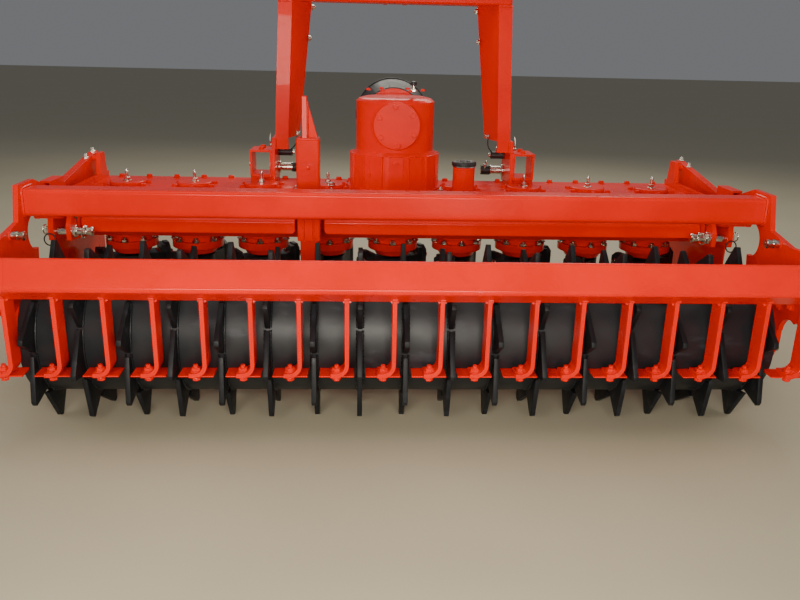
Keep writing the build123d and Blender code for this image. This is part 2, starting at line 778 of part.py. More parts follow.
# Telescopic stand: square socket on the back of the trough, sliding leg with a foot
socket_front_y = stand_y + stand_tube / 2
with BuildPart() as stand_socket:
    socket_height = stand_tube_top_z - stand_tube_bottom_z
    with Locations((stand_x, stand_y, stand_tube_bottom_z)):
        Box(stand_tube, stand_tube, socket_height, align=UP)
        Box(
            stand_tube - 2 * stand_tube_wall,
            stand_tube - 2 * stand_tube_wall,
            socket_height - stand_tube_wall,
            align=UP,
            mode=Mode.SUBTRACT,
        )
    blade_x = stand_x - stand_blade_aside
    plane, thick = across(blade_x - stand_blade_thick / 2, blade_x + stand_blade_thick / 2)
    with BuildSketch(plane):
        Polygon(
            (socket_front_y, stand_tube_bottom_z + stand_gusset_step),
            (rotor_y - trough_half, trough_shoulder_z + 5),
            (rotor_y - trough_half, trough_top_z - trough_flange_thick - 4),
            (socket_front_y, trough_top_z - trough_flange_thick - 4),
            align=None,
        )
    extrude(amount=thick)
    with BuildSketch(plane):
        Polygon(
            (stand_y - stand_blade_half, stand_tube_top_z),
            (stand_y + stand_blade_half, stand_tube_top_z),
            (stand_y + stand_blade_top_half, stand_blade_top_z),
            (stand_y - stand_blade_top_half, stand_blade_top_z),
            align=None,
        )
    extrude(amount=thick)
    gusset_x = blade_x + stand_blade_thick / 2
    gusset_end_x = stand_x + stand_tube / 2 - stand_tube_wall
    with BuildSketch(Plane.XZ.offset(-stand_y)):
        Polygon(
            (gusset_x, stand_tube_top_z),
            (gusset_end_x, stand_tube_top_z),
            (gusset_end_x, stand_tube_top_z + stand_gusset_step),
            (gusset_x, stand_blade_top_z - stand_gusset_step),
            align=None,
        )
    extrude(amount=-stand_gusset_thick)
save(stand_socket, "stand_socket")

with BuildPart() as stand_leg:
    with Locations((stand_x, stand_y, stand_foot_thick)):
        Box(stand_leg_size, stand_leg_size, stand_leg_top_z - stand_foot_thick, align=UP)
    with Locations((stand_x, stand_y, 0)):
        Box(stand_foot, stand_foot, stand_foot_thick, align=UP)
save(stand_leg, "stand_leg")

# Roller frame: two plate arms, a straight upper beam and a tilted lower beam
lower_beam_plane = Plane(
    origin=(-arm_inner_x, lower_beam_y, lower_beam_z),
    x_dir=(0, cos(radians(lower_beam_tilt)), -sin(radians(lower_beam_tilt))),
    z_dir=(1, 0, 0),
)
with BuildPart() as lower_beam:
    with BuildSketch(lower_beam_plane):
        RectangleRounded(beam_size, beam_size, beam_corner)
    extrude(amount=2 * arm_inner_x)
save(lower_beam, "lower_beam")

with BuildPart() as upper_beam:
    with BuildSketch(Plane.YZ.offset(-arm_inner_x)):
        with Locations((upper_beam_y, upper_beam_z)):
            RectangleRounded(upper_beam_size, upper_beam_size, beam_corner)
    extrude(amount=2 * arm_inner_x)
save(upper_beam, "upper_beam")

# Arm: plate round both beams, with round lobes at the hinge and the bearing, a notch under the
# upper beam and an arch between the bearing and the lower beam
arm_top_z = upper_beam_z + upper_beam_size / 2 + arm_margin
upper_back_y = upper_beam_y - upper_beam_size / 2 - arm_margin
upper_front_y = upper_beam_y + upper_beam_size / 2 + arm_margin
upper_bottom_z = upper_beam_z - upper_beam_size / 2
lower_reach = beam_size / 2 + arm_rear_reach / 3
for side, hand in SIDES:
    with BuildPart() as arm:
        plane, thick = across(hand * arm_inner_x, hand * arm_outer_x)
        with BuildSketch(plane):
            Polygon(
                (upper_back_y, arm_top_z),
                (upper_front_y, arm_top_z),
                (hinge_y - hinge_lobe_r / 3, hinge_z + hinge_lobe_r),
                (hinge_y - hinge_lobe_r / 3, hinge_z - hinge_lobe_r),
                (upper_front_y + arm_margin, upper_bottom_z - 2 * arm_margin),
                (upper_front_y - arm_margin, upper_bottom_z - upper_beam_size),
                (upper_front_y - 2 * arm_margin, roller_z + arm_notch_up - 2 * arm_notch_r),
                (roller_y + bearing_flange_r, roller_z),
                (roller_y - bearing_flange_r, roller_z),
                (roller_y - bearing_flange_r, roller_z + arm_arch_up),
                (lower_beam_y - arm_margin, lower_beam_z - lower_reach - arm_margin),
                (lower_beam_y - arm_rear_reach, lower_beam_z - arm_margin),
                (lower_beam_y - lower_reach, lower_beam_z + lower_reach),
                (lower_beam_y + lower_reach / 2, lower_beam_z + lower_reach),
                (roller_y - arm_arch_back / 2, upper_bottom_z - 2 * arm_margin),
                (upper_back_y - 2 * arm_margin, upper_bottom_z - arm_margin / 2),
                align=None,
            )
            with Locations((hinge_y, hinge_z)):
                Circle(hinge_lobe_r)
                Circle(hinge_pin_r + running_gap, mode=Mode.SUBTRACT)
            with Locations((roller_y, roller_z)):
                Circle(bearing_flange_r)
                Circle(stub_r + axle_hole_gap, mode=Mode.SUBTRACT)
            with Locations((roller_y + arm_notch_ahead, roller_z + arm_notch_up)):
                Circle(arm_notch_r, mode=Mode.SUBTRACT)
            with Locations((roller_y - arm_arch_back, roller_z + arm_arch_up)):
                Circle(arm_arch_r, mode=Mode.SUBTRACT)
        extrude(amount=thick)
    save(arm, f"roller_arm_{side}")

with BuildPart() as roller_bearings:
    for side, hand in SIDES:
        plane, thick = across(hand * (arm_inner_x - bearing_length), hand * arm_inner_x)
        with BuildSketch(plane):
            with Locations((roller_y, roller_z)):
                Circle(bearing_flange_r)
                Circle(stub_r + running_gap, mode=Mode.SUBTRACT)
        extrude(amount=thick)
save(roller_bearings, "roller_bearings")

with BuildPart() as stop_pins:
    for side, hand in SIDES:
        plane, thick = across(hand * (arm_inner_x - stop_pin_length), hand * arm_inner_x)
        with BuildSketch(plane):
            with Locations((roller_y, stop_pin_z)):
                Circle(stop_pin_r)
        extrude(amount=thick)
save(stop_pins, "stop_pins")

# Scrapers: a flat bar from the lower beam, bent into a foot, with a plate that clears the drum
bar_back_y = roller_y - scraper_bar_back
with BuildPart() as scraper_bars:
    bar_top_z = lower_beam_z - scraper_bar_sink
    for scraper_x in scraper_xs:
        bar_x = scraper_x + scraper_bar_offset
        with BuildSketch(Plane.XZ.offset(-bar_back_y)):
            with BuildLine():
                FilletPolyline(
                    (bar_x, bar_top_z),
                    (bar_x, scraper_foot_z),
                    (bar_x - scraper_foot_length, scraper_foot_z),
                    radius=scraper_bend_r,
                )
            trace(line_width=scraper_bar_thick)
        extrude(amount=-scraper_bar_width)
    add(lower_beam.part, mode=Mode.SUBTRACT)
save(scraper_bars, "scraper_bars")

# The plate lies under the foot, its front edge a hair's breadth from the drum
plate_top_z = scraper_foot_z - scraper_bar_thick / 2
plate_level = plate_top_z - scraper_plate_thick / 2 - roller_z
plate_edge_y = roller_y - sqrt((drum_r + scraper_drum_gap) ** 2 - plate_level ** 2)
with BuildPart() as scraper_plates:
    for scraper_x in scraper_xs:
        with Locations((scraper_x, plate_edge_y, plate_top_z)):
            Box(
                scraper_plate_width,
                scraper_plate_length,
                scraper_plate_thick,
                align=(Align.CENTER, Align.MAX, Align.MAX),
            )
save(scraper_plates, "scraper_plates")

# Packer roller: drum with recessed ends, stub axles, and rings of wedge teeth.
# A tooth has one nearly radial edge and one long slanted edge; rings alternate by half a step.
with BuildPart() as packer_roller:
    axle_half = arm_outer_x - 3
    for radius, half_length in (
        (drum_r, drum_half),
        (stub_hub_r, drum_half + stub_hub_length),
        (stub_r, axle_half),
    ):
        with BuildSketch(Plane.YZ.offset(-half_length)):
            with Locations((roller_y, roller_z)):
                Circle(radius)
        extrude(amount=2 * half_length)
    for parity in (0, 1):
        first = -90 + (resting_tooth_angle if parity else -resting_tooth_angle)
        ring_planes = [
            Plane(origin=(x - tooth_thick / 2, roller_y, roller_z), x_dir=(0, 1, 0), z_dir=(1, 0, 0))
            for x in ring_xs[parity::2]
        ]
        with BuildSketch(*ring_planes):
            with PolarLocations(0, teeth_per_ring, start_angle=first):
                Polygon(
                    (drum_r - tooth_root, tooth_base_front),
                    (tip_r * cos(radians(tip_half_angle)), tooth_tip_half),
                    (tip_r * cos(radians(tip_half_angle)), -tooth_tip_half),
                    (drum_r - tooth_root, -tooth_base_back),
                    align=None,
                )
        extrude(amount=tooth_thick)
save(packer_roller, "packer_roller")

print("rotor_y", round(rotor_y, 3), "roller_y", round(roller_y, 3), "roller_z", round(roller_z, 3))
print("hinge_y", round(hinge_y, 3), "link_pin_y", round(link_pin_y, 3), "top_pin_y", round(top_pin_y, 3))
print("stand_y", round(stand_y, 3), "deflector hinge y", round(rotor_y + deflector_hinge_ahead, 3))
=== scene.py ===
"""Dressed model of a power harrow: finishes, welds, fasteners, lights and camera."""
import json
import random
from math import cos, pi, radians, sin, sqrt, tau

import bmesh
import bpy
from bpy.props import FloatProperty, FloatVectorProperty, PointerProperty
from mathutils import Matrix, Vector


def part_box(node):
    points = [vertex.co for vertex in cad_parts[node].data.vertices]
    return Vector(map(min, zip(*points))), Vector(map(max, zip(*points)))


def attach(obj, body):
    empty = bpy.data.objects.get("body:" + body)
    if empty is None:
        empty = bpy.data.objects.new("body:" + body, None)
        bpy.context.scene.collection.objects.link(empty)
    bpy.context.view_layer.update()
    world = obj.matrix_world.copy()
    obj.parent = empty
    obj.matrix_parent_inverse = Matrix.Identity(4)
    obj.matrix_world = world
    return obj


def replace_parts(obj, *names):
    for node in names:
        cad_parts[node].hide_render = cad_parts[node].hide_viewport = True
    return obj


bl_info = {
    "name": "Power harrow dressing",
    "version": (1, 0, 0),
    "blender": (4, 5, 0),
    "location": "View3D > Sidebar > Harrow",
    "description": "Paints the harrow's parts and adds its welds, bolts, pins and studio",
    "category": "Object",
}

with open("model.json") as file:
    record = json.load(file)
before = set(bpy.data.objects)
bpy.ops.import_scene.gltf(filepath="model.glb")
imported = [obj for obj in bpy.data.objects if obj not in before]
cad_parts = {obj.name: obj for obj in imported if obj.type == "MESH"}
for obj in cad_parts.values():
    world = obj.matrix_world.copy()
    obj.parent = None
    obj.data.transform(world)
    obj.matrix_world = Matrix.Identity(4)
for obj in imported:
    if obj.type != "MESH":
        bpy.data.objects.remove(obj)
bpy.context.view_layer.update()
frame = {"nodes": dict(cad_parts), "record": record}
nodes = frame["nodes"]
joints = {joint["name"]: joint for joint in frame["record"]["behaviour"]["joints"]}
roller_axis = Vector(joints["roller_spin"]["pos_m"])
depth_hinge = Vector(joints["roller_depth"]["pos_m"])
rotor_axes = [Vector(joints[f"rotor_spin_{number}"]["pos_m"]) for number in range(1, 10)]
MM = 0.001


# Sizes and colours that a user would change
class PaintSettings(bpy.types.PropertyGroup):
    red: FloatVectorProperty(
        name="Machine paint", description="Gloss paint on the frame, trough and gearbox",
        default=(0.84, 0.010, 0.0004), subtype="COLOR", min=0, max=1)
    # The roller paint's near-black is its own colour; its faint blue cast is painted reflection, standing in
    # for the bluish sky light in the drum's highlight
    black: FloatVectorProperty(
        name="Roller paint", description="Satin paint on the roller, rotors and tines",
        default=(0.012, 0.0135, 0.0165), subtype="COLOR", min=0, max=1)
    zinc: FloatVectorProperty(
        name="Zinc plating", description="Plating on pins, bolts and nuts",
        default=(0.66, 0.64, 0.58), subtype="COLOR", min=0, max=1)
    peel: FloatProperty(
        name="Paint ripple", description="Size of the ripple in the sprayed paint",
        default=9 * MM, unit="LENGTH")
    dust: FloatProperty(
        name="Dust", description="How much dust lies on surfaces that face up",
        default=0.08, min=0, max=1, subtype="FACTOR")


class CameraSettings(bpy.types.PropertyGroup):
    behind: FloatProperty(
        name="Distance behind the roller", description="Level distance from the roller's axis",
        default=2.166, unit="LENGTH")
    aside: FloatProperty(
        name="Distance to the left", description="Offset from the machine's middle plane",
        default=0.1263, unit="LENGTH")
    height: FloatProperty(
        name="Height", description="Height of the lens above the floor", default=1.0501, unit="LENGTH")
    yaw: FloatProperty(name="Turn", description="Turn to the right", default=radians(3.1), unit="ROTATION")
    pitch: FloatProperty(name="Tilt", description="Tilt downwards", default=radians(18.03), unit="ROTATION")
    roll: FloatProperty(name="Roll", description="Roll of the frame", default=radians(-1.35), unit="ROTATION")
    focal: FloatProperty(
        name="Focal length", description="Lens on a 36 mm wide sensor", default=35.1, min=10, max=200)


# Shader maths: a socket that adds and multiplies as a number does
class Wire:
    """One output socket of a material's tree. Adding and multiplying it adds Math nodes."""

    def __init__(self, tree, socket):
        self.tree = tree
        self.socket = socket

    def maths(self, operation, first, second=0.0):
        return self.tree.node("ShaderNodeMath", {"operation": operation}, {0: first, 1: second})

    def __add__(self, other):
        return self.maths("ADD", self, other)

    def __mul__(self, other):
        return self.maths("MULTIPLY", self, other)


class Finish:
    """A material being mixed: one Principled shader and the nodes that feed it."""

    def __init__(self, name, **constants):
        self.material = bpy.data.materials.new(name)
        self.material.use_nodes = True
        self.nodes = self.material.node_tree.nodes
        self.links = self.material.node_tree.links
        self.shader = self.nodes["Principled BSDF"]
        for label, value in constants.items():
            self.feed(label.replace("_", " "), value)
        self.place = self.node("ShaderNodeTexCoord", out="Object")

    def put(self, socket, value):
        if isinstance(value, Wire):
            self.links.new(value.socket, socket)
        else:
            socket.default_value = value

    def node(self, kind, settings=None, values=None, out=0):
        made = self.nodes.new(kind)
        for label, value in (settings or {}).items():
            setattr(made, label, value)
        for label, value in (values or {}).items():
            self.put(made.inputs[label], value)
        return Wire(self, made.outputs[out])

    def noise(self, size, detail=3.0, roughness=0.5, stretch=None):
        """Cloudy value from 0 to 1 whose features are about `size` metres."""
        place = self.place
        if stretch:
            place = self.node("ShaderNodeVectorMath", {"operation": "MULTIPLY"}, {0: place, 1: stretch})
        values = {"Vector": place, "Scale": 1 / size, "Detail": detail, "Roughness": roughness}
        return self.node("ShaderNodeTexNoise", {}, values)

    def between(self, value, low, high, to_low=0.0, to_high=1.0):
        """Smooth step of a value from one range to another."""
        settings = {"interpolation_type": "SMOOTHSTEP"}
        values = {"Value": value, 1: low, 2: high, 3: to_low, 4: to_high}
        return self.node("ShaderNodeMapRange", settings, values)

    def mixed(self, factor, first, second):
        """Colour between two colours."""
        values = {"Factor": factor, 6: opaque(first), 7: opaque(second)}
        return self.node("ShaderNodeMix", {"data_type": "RGBA"}, values, out=2)

    def upward(self):
        """How far the surface faces up, from -1 to 1."""
        normal = self.node("ShaderNodeNewGeometry", out="Normal")
        return self.node("ShaderNodeSeparateXYZ", {}, {0: normal}, out="Z")

    def feed(self, label, value):
        if isinstance(value, tuple) and len(value) == 3:
            value = opaque(value)
        self.put(self.shader.inputs[label], value)

    def bump(self, height, distance, strength=1.0):
        values = {"Height": height, "Distance": distance, "Strength": strength}
        self.feed("Normal", self.node("ShaderNodeBump", {}, values))


def opaque(colour):
    """A colour with its alpha, or a link as it is."""
    if isinstance(colour, Wire):
        return colour
    return (*colour[:3], 1.0)


def tinted(colour, factor):
    """A colour made lighter or darker."""
    return tuple(min(1.0, channel * factor) for channel in colour[:3])


def gloss_paint(name, colour, settings):
    """Sprayed gloss enamel: faint ripple, soft cloudiness, a little dust on what faces up."""
    finish = Finish(name, Coat_Weight=0.12, Coat_Roughness=0.03, Specular_IOR_Level=0.10, IOR=1.46)
    cloud = finish.noise(0.22, 4.0)
    shade = finish.mixed(finish.between(cloud, 0.35, 0.65), tinted(colour, 0.93), tinted(colour, 1.05))
    specks = finish.between(finish.noise(0.035, 6.0, 0.65), 0.50, 0.72)
    dust = specks * finish.between(finish.upward(), 0.25, 0.95) * settings.dust
    finish.feed("Base Color", finish.mixed(dust, shade, (0.50, 0.14, 0.08)))
    finish.feed("Roughness", finish.between(cloud, 0.3, 0.7, 0.24, 0.32) + dust * 0.6)
    ripple = finish.noise(settings.peel, 2.0)
    finish.bump(ripple + finish.noise(0.06, 2.0) * 2.0, 0.00035, 0.5)
    return finish.material


def satin_paint(name, colour, settings):
    """Black satin paint over rolled steel, scuffed grey in places."""
    finish = Finish(name, IOR=1.48)
    streaks = finish.noise(0.05, 5.0, 0.6, stretch=(0.35, 1.0, 1.0))
    scuff = finish.between(streaks, 0.58, 0.74)
    shade = finish.mixed(scuff, colour, tinted(colour, 2.6))
    dust = finish.between(finish.upward(), 0.2, 1.0) * finish.between(finish.noise(0.09, 5.0), 0.4, 0.7)
    finish.feed("Base Color", finish.mixed(dust * settings.dust * 0.5, shade, (0.10, 0.085, 0.07)))
    finish.feed("Roughness", finish.between(streaks, 0.25, 0.75, 0.44, 0.52) + dust * 0.12)
    finish.bump(streaks + finish.noise(0.006, 2.0) * 0.3, 0.0006, 0.45)
    return finish.material


def forged_black(name, colour, settings):
    """Painted forged steel of the rotors: lumpier and duller than sheet steel."""
    finish = Finish(name, IOR=1.45)
    lumps = finish.noise(0.018, 4.0, 0.6)
    wear = finish.between(finish.noise(0.05, 5.0), 0.55, 0.72)
    finish.feed("Base Color", finish.mixed(wear, tinted(colour, 0.8), tinted(colour, 2.0)))
    finish.feed("Roughness", finish.between(lumps, 0.2, 0.8, 0.36, 0.58))
    finish.bump(lumps, 0.0010, 0.6)
    return finish.material


def worn_black(name, colour, settings):
    """Flat black paint of the roller's teeth, greyer where it is thin."""
    finish = Finish(name, IOR=1.4, Specular_IOR_Level=0.35)
    wear = finish.between(finish.noise(0.03, 5.0), 0.50, 0.75)
    finish.feed("Base Color", finish.mixed(wear, tinted(colour, 0.7), tinted(colour, 1.6)))
    finish.feed("Roughness", finish.between(wear, 0.0, 1.0, 0.50, 0.40))
    finish.bump(finish.noise(0.006, 3.0), 0.0005, 0.4)
    return finish.material


def zinc_plate(name, colour, settings):
    """Zinc plating: bright metal with a faint warm cast and fine cloudiness."""
    finish = Finish(name, Metallic=1.0)
    cloud = finish.noise(0.012, 4.0)
    patch = finish.between(finish.noise(0.03, 3.0), 0.45, 0.7)
    finish.feed("Base Color", finish.mixed(patch, colour, (0.62, 0.55, 0.40)))
    finish.feed("Roughness", finish.between(cloud, 0.2, 0.8, 0.16, 0.34))
    finish.bump(cloud, 0.0002, 0.4)
    return finish.material


def bare_steel(name, colour, settings):
    """Turned steel with a thin film of grease."""
    finish = Finish(name, Metallic=1.0)
    rings = finish.noise(0.004, 2.0, stretch=(1.0, 12.0, 1.0))
    stain = finish.between(finish.noise(0.02, 4.0), 0.5, 0.7)
    finish.feed("Base Color", finish.mixed(stain, colour, tinted(colour, 0.45)))
    finish.feed("Roughness", finish.between(rings, 0.2, 0.8, 0.22, 0.42))
    finish.bump(rings, 0.0002, 0.4)
    return finish.material


def moulded_plastic(name, colour, settings):
    """Moulded black plastic with a fine grain."""
    finish = Finish(name, IOR=1.46)
    grain = finish.noise(0.0022, 2.0)
    cloud = finish.noise(0.08, 3.0)
    finish.feed("Base Color", finish.mixed(cloud, tinted(colour, 0.85), tinted(colour, 1.5)))
    finish.feed("Roughness", finish.between(cloud, 0.3, 0.7, 0.42, 0.56))
    finish.bump(grain, 0.00025, 0.5)
    return finish.material


def weld_metal(name, colour, settings):
    """Painted weld: the machine's paint over close ripples, darker in their hollows and lighter on their
    crests as painted shade.
    """
    finish = Finish(name, Coat_Weight=0.06, Coat_Roughness=0.08, Specular_IOR_Level=0.25, IOR=1.48)
    lumps = finish.noise(0.006, 3.0)
    # Painted shade: the colour follows the ripple height, darker in the hollows and lighter on the crests
    finish.feed("Base Color", finish.mixed(lumps, tinted(colour, 0.80), tinted(colour, 1.04)))
    finish.feed("Roughness", finish.between(lumps, 0.3, 0.7, 0.22, 0.34))
    finish.bump(lumps, 0.0012, 0.8)
    return finish.material


# Each finish with its recipe, its colour or the setting that holds it, and the slot it belongs to
MATERIALS = {}
FINISHES = (
    ("red", gloss_paint, "red", "red_paint"),
    ("red_weld", weld_metal, "red", "red_paint"),
    ("black", satin_paint, "black", "black_paint"),
    ("black_weld", weld_metal, "black", "black_paint"),
    ("forged", forged_black, "black", "black_paint"),
    ("teeth", worn_black, "black", "black_paint"),
    ("zinc", zinc_plate, "zinc", "zinc"),
    ("steel", bare_steel, (0.42, 0.41, 0.40), "bare_steel"),
    ("plastic", moulded_plastic, (0.014, 0.014, 0.015), "black_plastic"),
)
SLOT_FINISH = {slot: name for name, recipe, colour, slot in reversed(FINISHES)}


def paint(piece, finish):
    """Give a piece one of the finishes."""
    piece.data.materials.clear()
    piece.data.materials.append(MATERIALS[finish])


# Places on the machine, in millimetres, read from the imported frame
def side(node, end, axis):
    """One face of a part's box: end 0 is the lowest, 1 the highest."""
    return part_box(node)[end][axis] / MM


def mid(node, axis):
    """The middle of a part's box along one axis."""
    return (side(node, 0, axis) + side(node, 1, axis)) / 2


ROTOR_Y = rotor_axes[4].y / MM
ROTOR_XS = [place.x / MM for place in rotor_axes]
ROLLER_Y = roller_axis.y / MM
ROLLER_Z = roller_axis.z / MM
HINGE_Y = depth_hinge.y / MM
HINGE_Z = depth_hinge.z / MM
LID_Z = side("trough_lid", 1, 2)
FLANGE_Z = side("trough", 1, 2)
FLANGE_FRONT = side("trough", 1, 1)
FLANGE_BACK = side("trough", 0, 1)
ARM_OUT = side("roller_arm_right", 1, 0)
ARM_IN = side("roller_arm_right", 0, 0)
PLATE_OUT = side("hinge_pins", 1, 0) - 2
CHEEK_IN = side("trough_end_right", 0, 0)
STAND_X = mid("stand_leg", 0)
STAND_Y = mid("stand_leg", 1)
BODY_OF = {}
for body_name, body_nodes in frame["record"]["behaviour"]["bodies"].items():
    for node_name in body_nodes:
        BODY_OF[node_name] = body_name


# Edges sharper than this many degrees stay crisp, where a finish has its own limit
SHARP = {"red": 32.0, "zinc": 32.0, "red_weld": 70.0, "black_weld": 70.0}


# Mesh tools: small parts are gathered in a batch, in millimetres, and become one mesh
class Batch:
    """Like small pieces of one finish on one body, gathered in one mesh."""

    def __init__(self):
        self.mesh = bmesh.new()

    def skin(self, rings, closed=False):
        """Quads between rings of equal length, with a lid on each open end."""
        made = [[self.mesh.verts.new(point) for point in ring] for ring in rings]
        pairs = list(zip(made, made[1:]))
        if closed:
            pairs.append((made[-1], made[0]))
        for lower, upper in pairs:
            for here in range(len(lower)):
                after = (here + 1) % len(lower)
                self.mesh.faces.new((lower[here], lower[after], upper[after], upper[here]))
        if not closed:
            self.mesh.faces.new(list(reversed(made[0])))
            self.mesh.faces.new(made[-1])

    def turned(self, place, axis, outline, sides=20, spin=0.0, closed=False):
        """Turned part: the outline lists (distance along the axis, radius)."""
        axis = Vector(axis).normalized()
        out, up = square_to(axis)
        turns = [spin + tau * step / sides for step in range(sides)]
        rings = []
        for along, radius in outline:
            centre = Vector(place) + axis * along
            rings.append([centre + (out * cos(turn) + up * sin(turn)) * radius for turn in turns])
        self.skin(rings, closed)

    def slab(self, points, offset, edge=0.0):
        """Flat plate: an outline of points and the vector through its thickness."""
        offset = Vector(offset)
        lower = [self.mesh.verts.new(point) for point in points]
        upper = [self.mesh.verts.new(Vector(point) + offset) for point in points]
        faces = [self.mesh.faces.new(list(reversed(lower))), self.mesh.faces.new(upper)]
        for here in range(len(points)):
            after = (here + 1) % len(points)
            faces.append(self.mesh.faces.new((lower[here], lower[after], upper[after], upper[here])))
        if edge:
            edges = list({one for face in faces for one in face.edges})
            round_edges(self.mesh, edges, edge, 2)

    def bar(self, path, radius, sides=8, closed=False, ripple=0.0):
        """Round bar along points. With a ripple it is a weld bead."""
        path = [Vector(point) for point in path]
        count = len(path)
        out = None
        rings = []
        for step, point in enumerate(path):
            before = path[step - 1] if step or closed else point
            after = path[(step + 1) % count] if step + 1 < count or closed else point
            along = (after - before).normalized()
            if out is None:
                out, up = square_to(along)
            else:
                out = (out - along * out.dot(along)).normalized()
                up = along.cross(out)
            swell = radius * (1 - ripple * (step % 2))
            turns = [tau * turn / sides for turn in range(sides)]
            rings.append([point + (out * cos(turn) + up * sin(turn)) * swell for turn in turns])
        self.skin(rings, closed)

    def bead(self, path, radius=4.0, closed=False, step=3.5):
        """Weld bead along a path, with the close ripples of a welding pass."""
        self.bar(spaced(path, step, closed), radius, 6, closed, ripple=0.16)

    def bolt(self, place, axis, size, stud=0.0, washer=True, spin=0.3):
        """Hex head or nut for a thread of this size, with washer, chamfer and thread end."""
        seat = Vector(place)
        axis = Vector(axis).normalized()
        if washer:
            thick = 0.16 * size
            rim = [(0, 1.08 * size), (0.6 * thick, 1.12 * size), (thick, 1.06 * size)]
            self.turned(seat, axis, rim, 18)
            seat = seat + axis * thick
        head = [(0, 0.84), (0.08, 0.92), (0.56, 0.92), (0.68, 0.78)]
        self.turned(seat, axis, [(along * size, radius * size) for along, radius in head], 6, spin)
        if stud:
            pitch = 0.17 * size
            thread = []
            for turn in range(int(stud / pitch) + 1):
                thread.append((turn * pitch, 0.50 * size))
                thread.append((turn * pitch + pitch / 2, 0.43 * size))
            self.turned(seat + axis * 0.66 * size, axis, thread, 10)

    def linch(self, place, axis, across, size=36.0, wire=2.2):
        """Linch pin: a short pin through a larger one, with its spring ring hanging from the head."""
        place = Vector(place)
        axis = Vector(axis).normalized()
        across = Vector(across).normalized()
        pin = [(-0.62, 3.0), (-0.58, 3.9), (0.45, 3.9), (0.46, 6.4), (0.66, 6.4), (0.72, 4.8)]
        self.turned(place, axis, [(along * size, radius) for along, radius in pin], 14)
        hinge = place + axis * 0.56 * size
        reach = 0.62 * size
        loop = []
        for step in range(25):
            turn = radians(-72 + 324 * step / 24)
            loop.append(hinge + across * (reach * (1 - cos(turn))) + axis * (reach * sin(turn)) * 0.92)
        self.bar(loop, wire, 8)

    def copy(self, template, place, turn=None):
        """Another of a template made earlier, moved and turned about the machine's X axis."""
        points, faces = template
        turning = Matrix.Rotation(turn or 0.0, 3, "X")
        made = [self.mesh.verts.new(turning @ point + Vector(place)) for point in points]
        for face in faces:
            self.mesh.faces.new([made[index] for index in face])

    def template(self):
        """The batch as points and faces, to be copied into another batch."""
        self.mesh.verts.index_update()
        points = [vert.co.copy() for vert in self.mesh.verts]
        faces = [[vert.index for vert in face.verts] for face in self.mesh.faces]
        self.mesh.free()
        return points, faces

    def done(self, name, body, finish, sharp=None):
        """Hand the batch over as one finished piece on its body."""
        bmesh.ops.scale(self.mesh, vec=(MM, MM, MM), verts=self.mesh.verts)
        return finished(name, self.mesh, body, finish, sharp or SHARP.get(finish, 35.0))


def round_edges(mesh, edges, radius, segments):
    """Round some of a mesh's edges."""
    bmesh.ops.bevel(
        mesh, geom=edges, offset=radius, segments=segments, profile=0.5, affect="EDGES", clamp_overlap=True)


def square_to(axis):
    """Two directions at right angles to an axis and to each other."""
    if abs(axis.z) > 0.99:
        out = Vector((1, 0, 0))
    else:
        out = Vector((0, 0, 1)).cross(axis).normalized()
    out = (out - axis * out.dot(axis)).normalized()
    return out, axis.cross(out)


def spaced(path, step, closed=False):
    """Points an even step apart along straight runs."""
    path = [Vector(point) for point in path]
    if closed:
        path.append(path[0])
    points = []
    for start, end in zip(path, path[1:]):
        count = max(1, round((end - start).length / step))
        points += [start.lerp(end, index / count) for index in range(count)]
    if not closed:
        points.append(path[-1])
    return points


def square_loop(x, y, z, half, corner, tilt=0.0, grow=0.0):
    """Outline of a square tube with rounded corners, at one X place."""
    points = []
    for quarter in range(4):
        middle = radians(45 + 90 * quarter)
        reach = (half - corner) * sqrt(2)
        centre = Vector((cos(middle), sin(middle))) * reach
        for step in range(5):
            turn = middle + radians(-45 + 22.5 * step)
            flat = centre + Vector((cos(turn), sin(turn))) * (corner + grow)
            turned = Matrix.Rotation(-radians(tilt), 2) @ flat
            points.append(Vector((x, y + turned.x, z + turned.y)))
    return points


def finished(name, mesh, body, finish, sharp):
    """Make a scene piece of a mesh: smooth shading, finish and body."""
    data = bpy.data.meshes.new(name)
    mesh.to_mesh(data)
    mesh.free()
    data.shade_smooth()
    data.set_sharp_from_angle(angle=radians(sharp))
    made = bpy.data.objects.new(name, data)
    bpy.context.scene.collection.objects.link(made)
    paint(made, finish)
    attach(made, body)
    return made


def soften(node, width, rounds=(), sharp=50.0, finish=None):
    """Stand-in for a part with its edges rounded as rolled, cast or ground steel is."""
    mesh = bmesh.new()
    mesh.from_mesh(nodes[node].data)
    bmesh.ops.remove_doubles(mesh, verts=mesh.verts, dist=0.02 * MM)
    bmesh.ops.dissolve_limit(mesh, angle_limit=radians(1), verts=mesh.verts, edges=mesh.edges)
    for chosen, radius in rounds:
        edges = [edge for edge in mesh.edges if chosen(edge)]
        round_edges(mesh, edges, radius * MM, 5)
    finish = finish or nodes[node].material_slots[0].material.name.removeprefix("harrow_")
    made = finished(f"{node}_dressed", mesh, BODY_OF[node], finish, sharp)
    bevel = made.modifiers.new("edges", "BEVEL")
    bevel.width = width * MM
    bevel.segments = 2
    bevel.limit_method = "ANGLE"
    bevel.angle_limit = radians(32)
    shade = made.modifiers.new("shade", "WEIGHTED_NORMAL")
    shade.keep_sharp = True
    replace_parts(made, node)
    return made


class HARROW_OT_finishes(bpy.types.Operator):
    """Mix the paints and platings and give each part its own."""
    bl_idname = "harrow.finishes"
    bl_label = "Finishes"

    def execute(self, context):
        settings = context.scene.harrow_paint
        for name, recipe, colour, slot in FINISHES:
            if isinstance(colour, str):
                colour = tuple(getattr(settings, colour))
            MATERIALS[name] = recipe(f"harrow_{name}", colour, settings)
        for part in frame["record"]["subparts"]:
            finish = SLOT_FINISH[part["material_slot"]]
            if part["node"].startswith("rotor_"):
                finish = "forged"
            node = nodes[part["node"]]
            for holder in node.material_slots:
                holder.material = MATERIALS[finish]
        return {"FINISHED"}


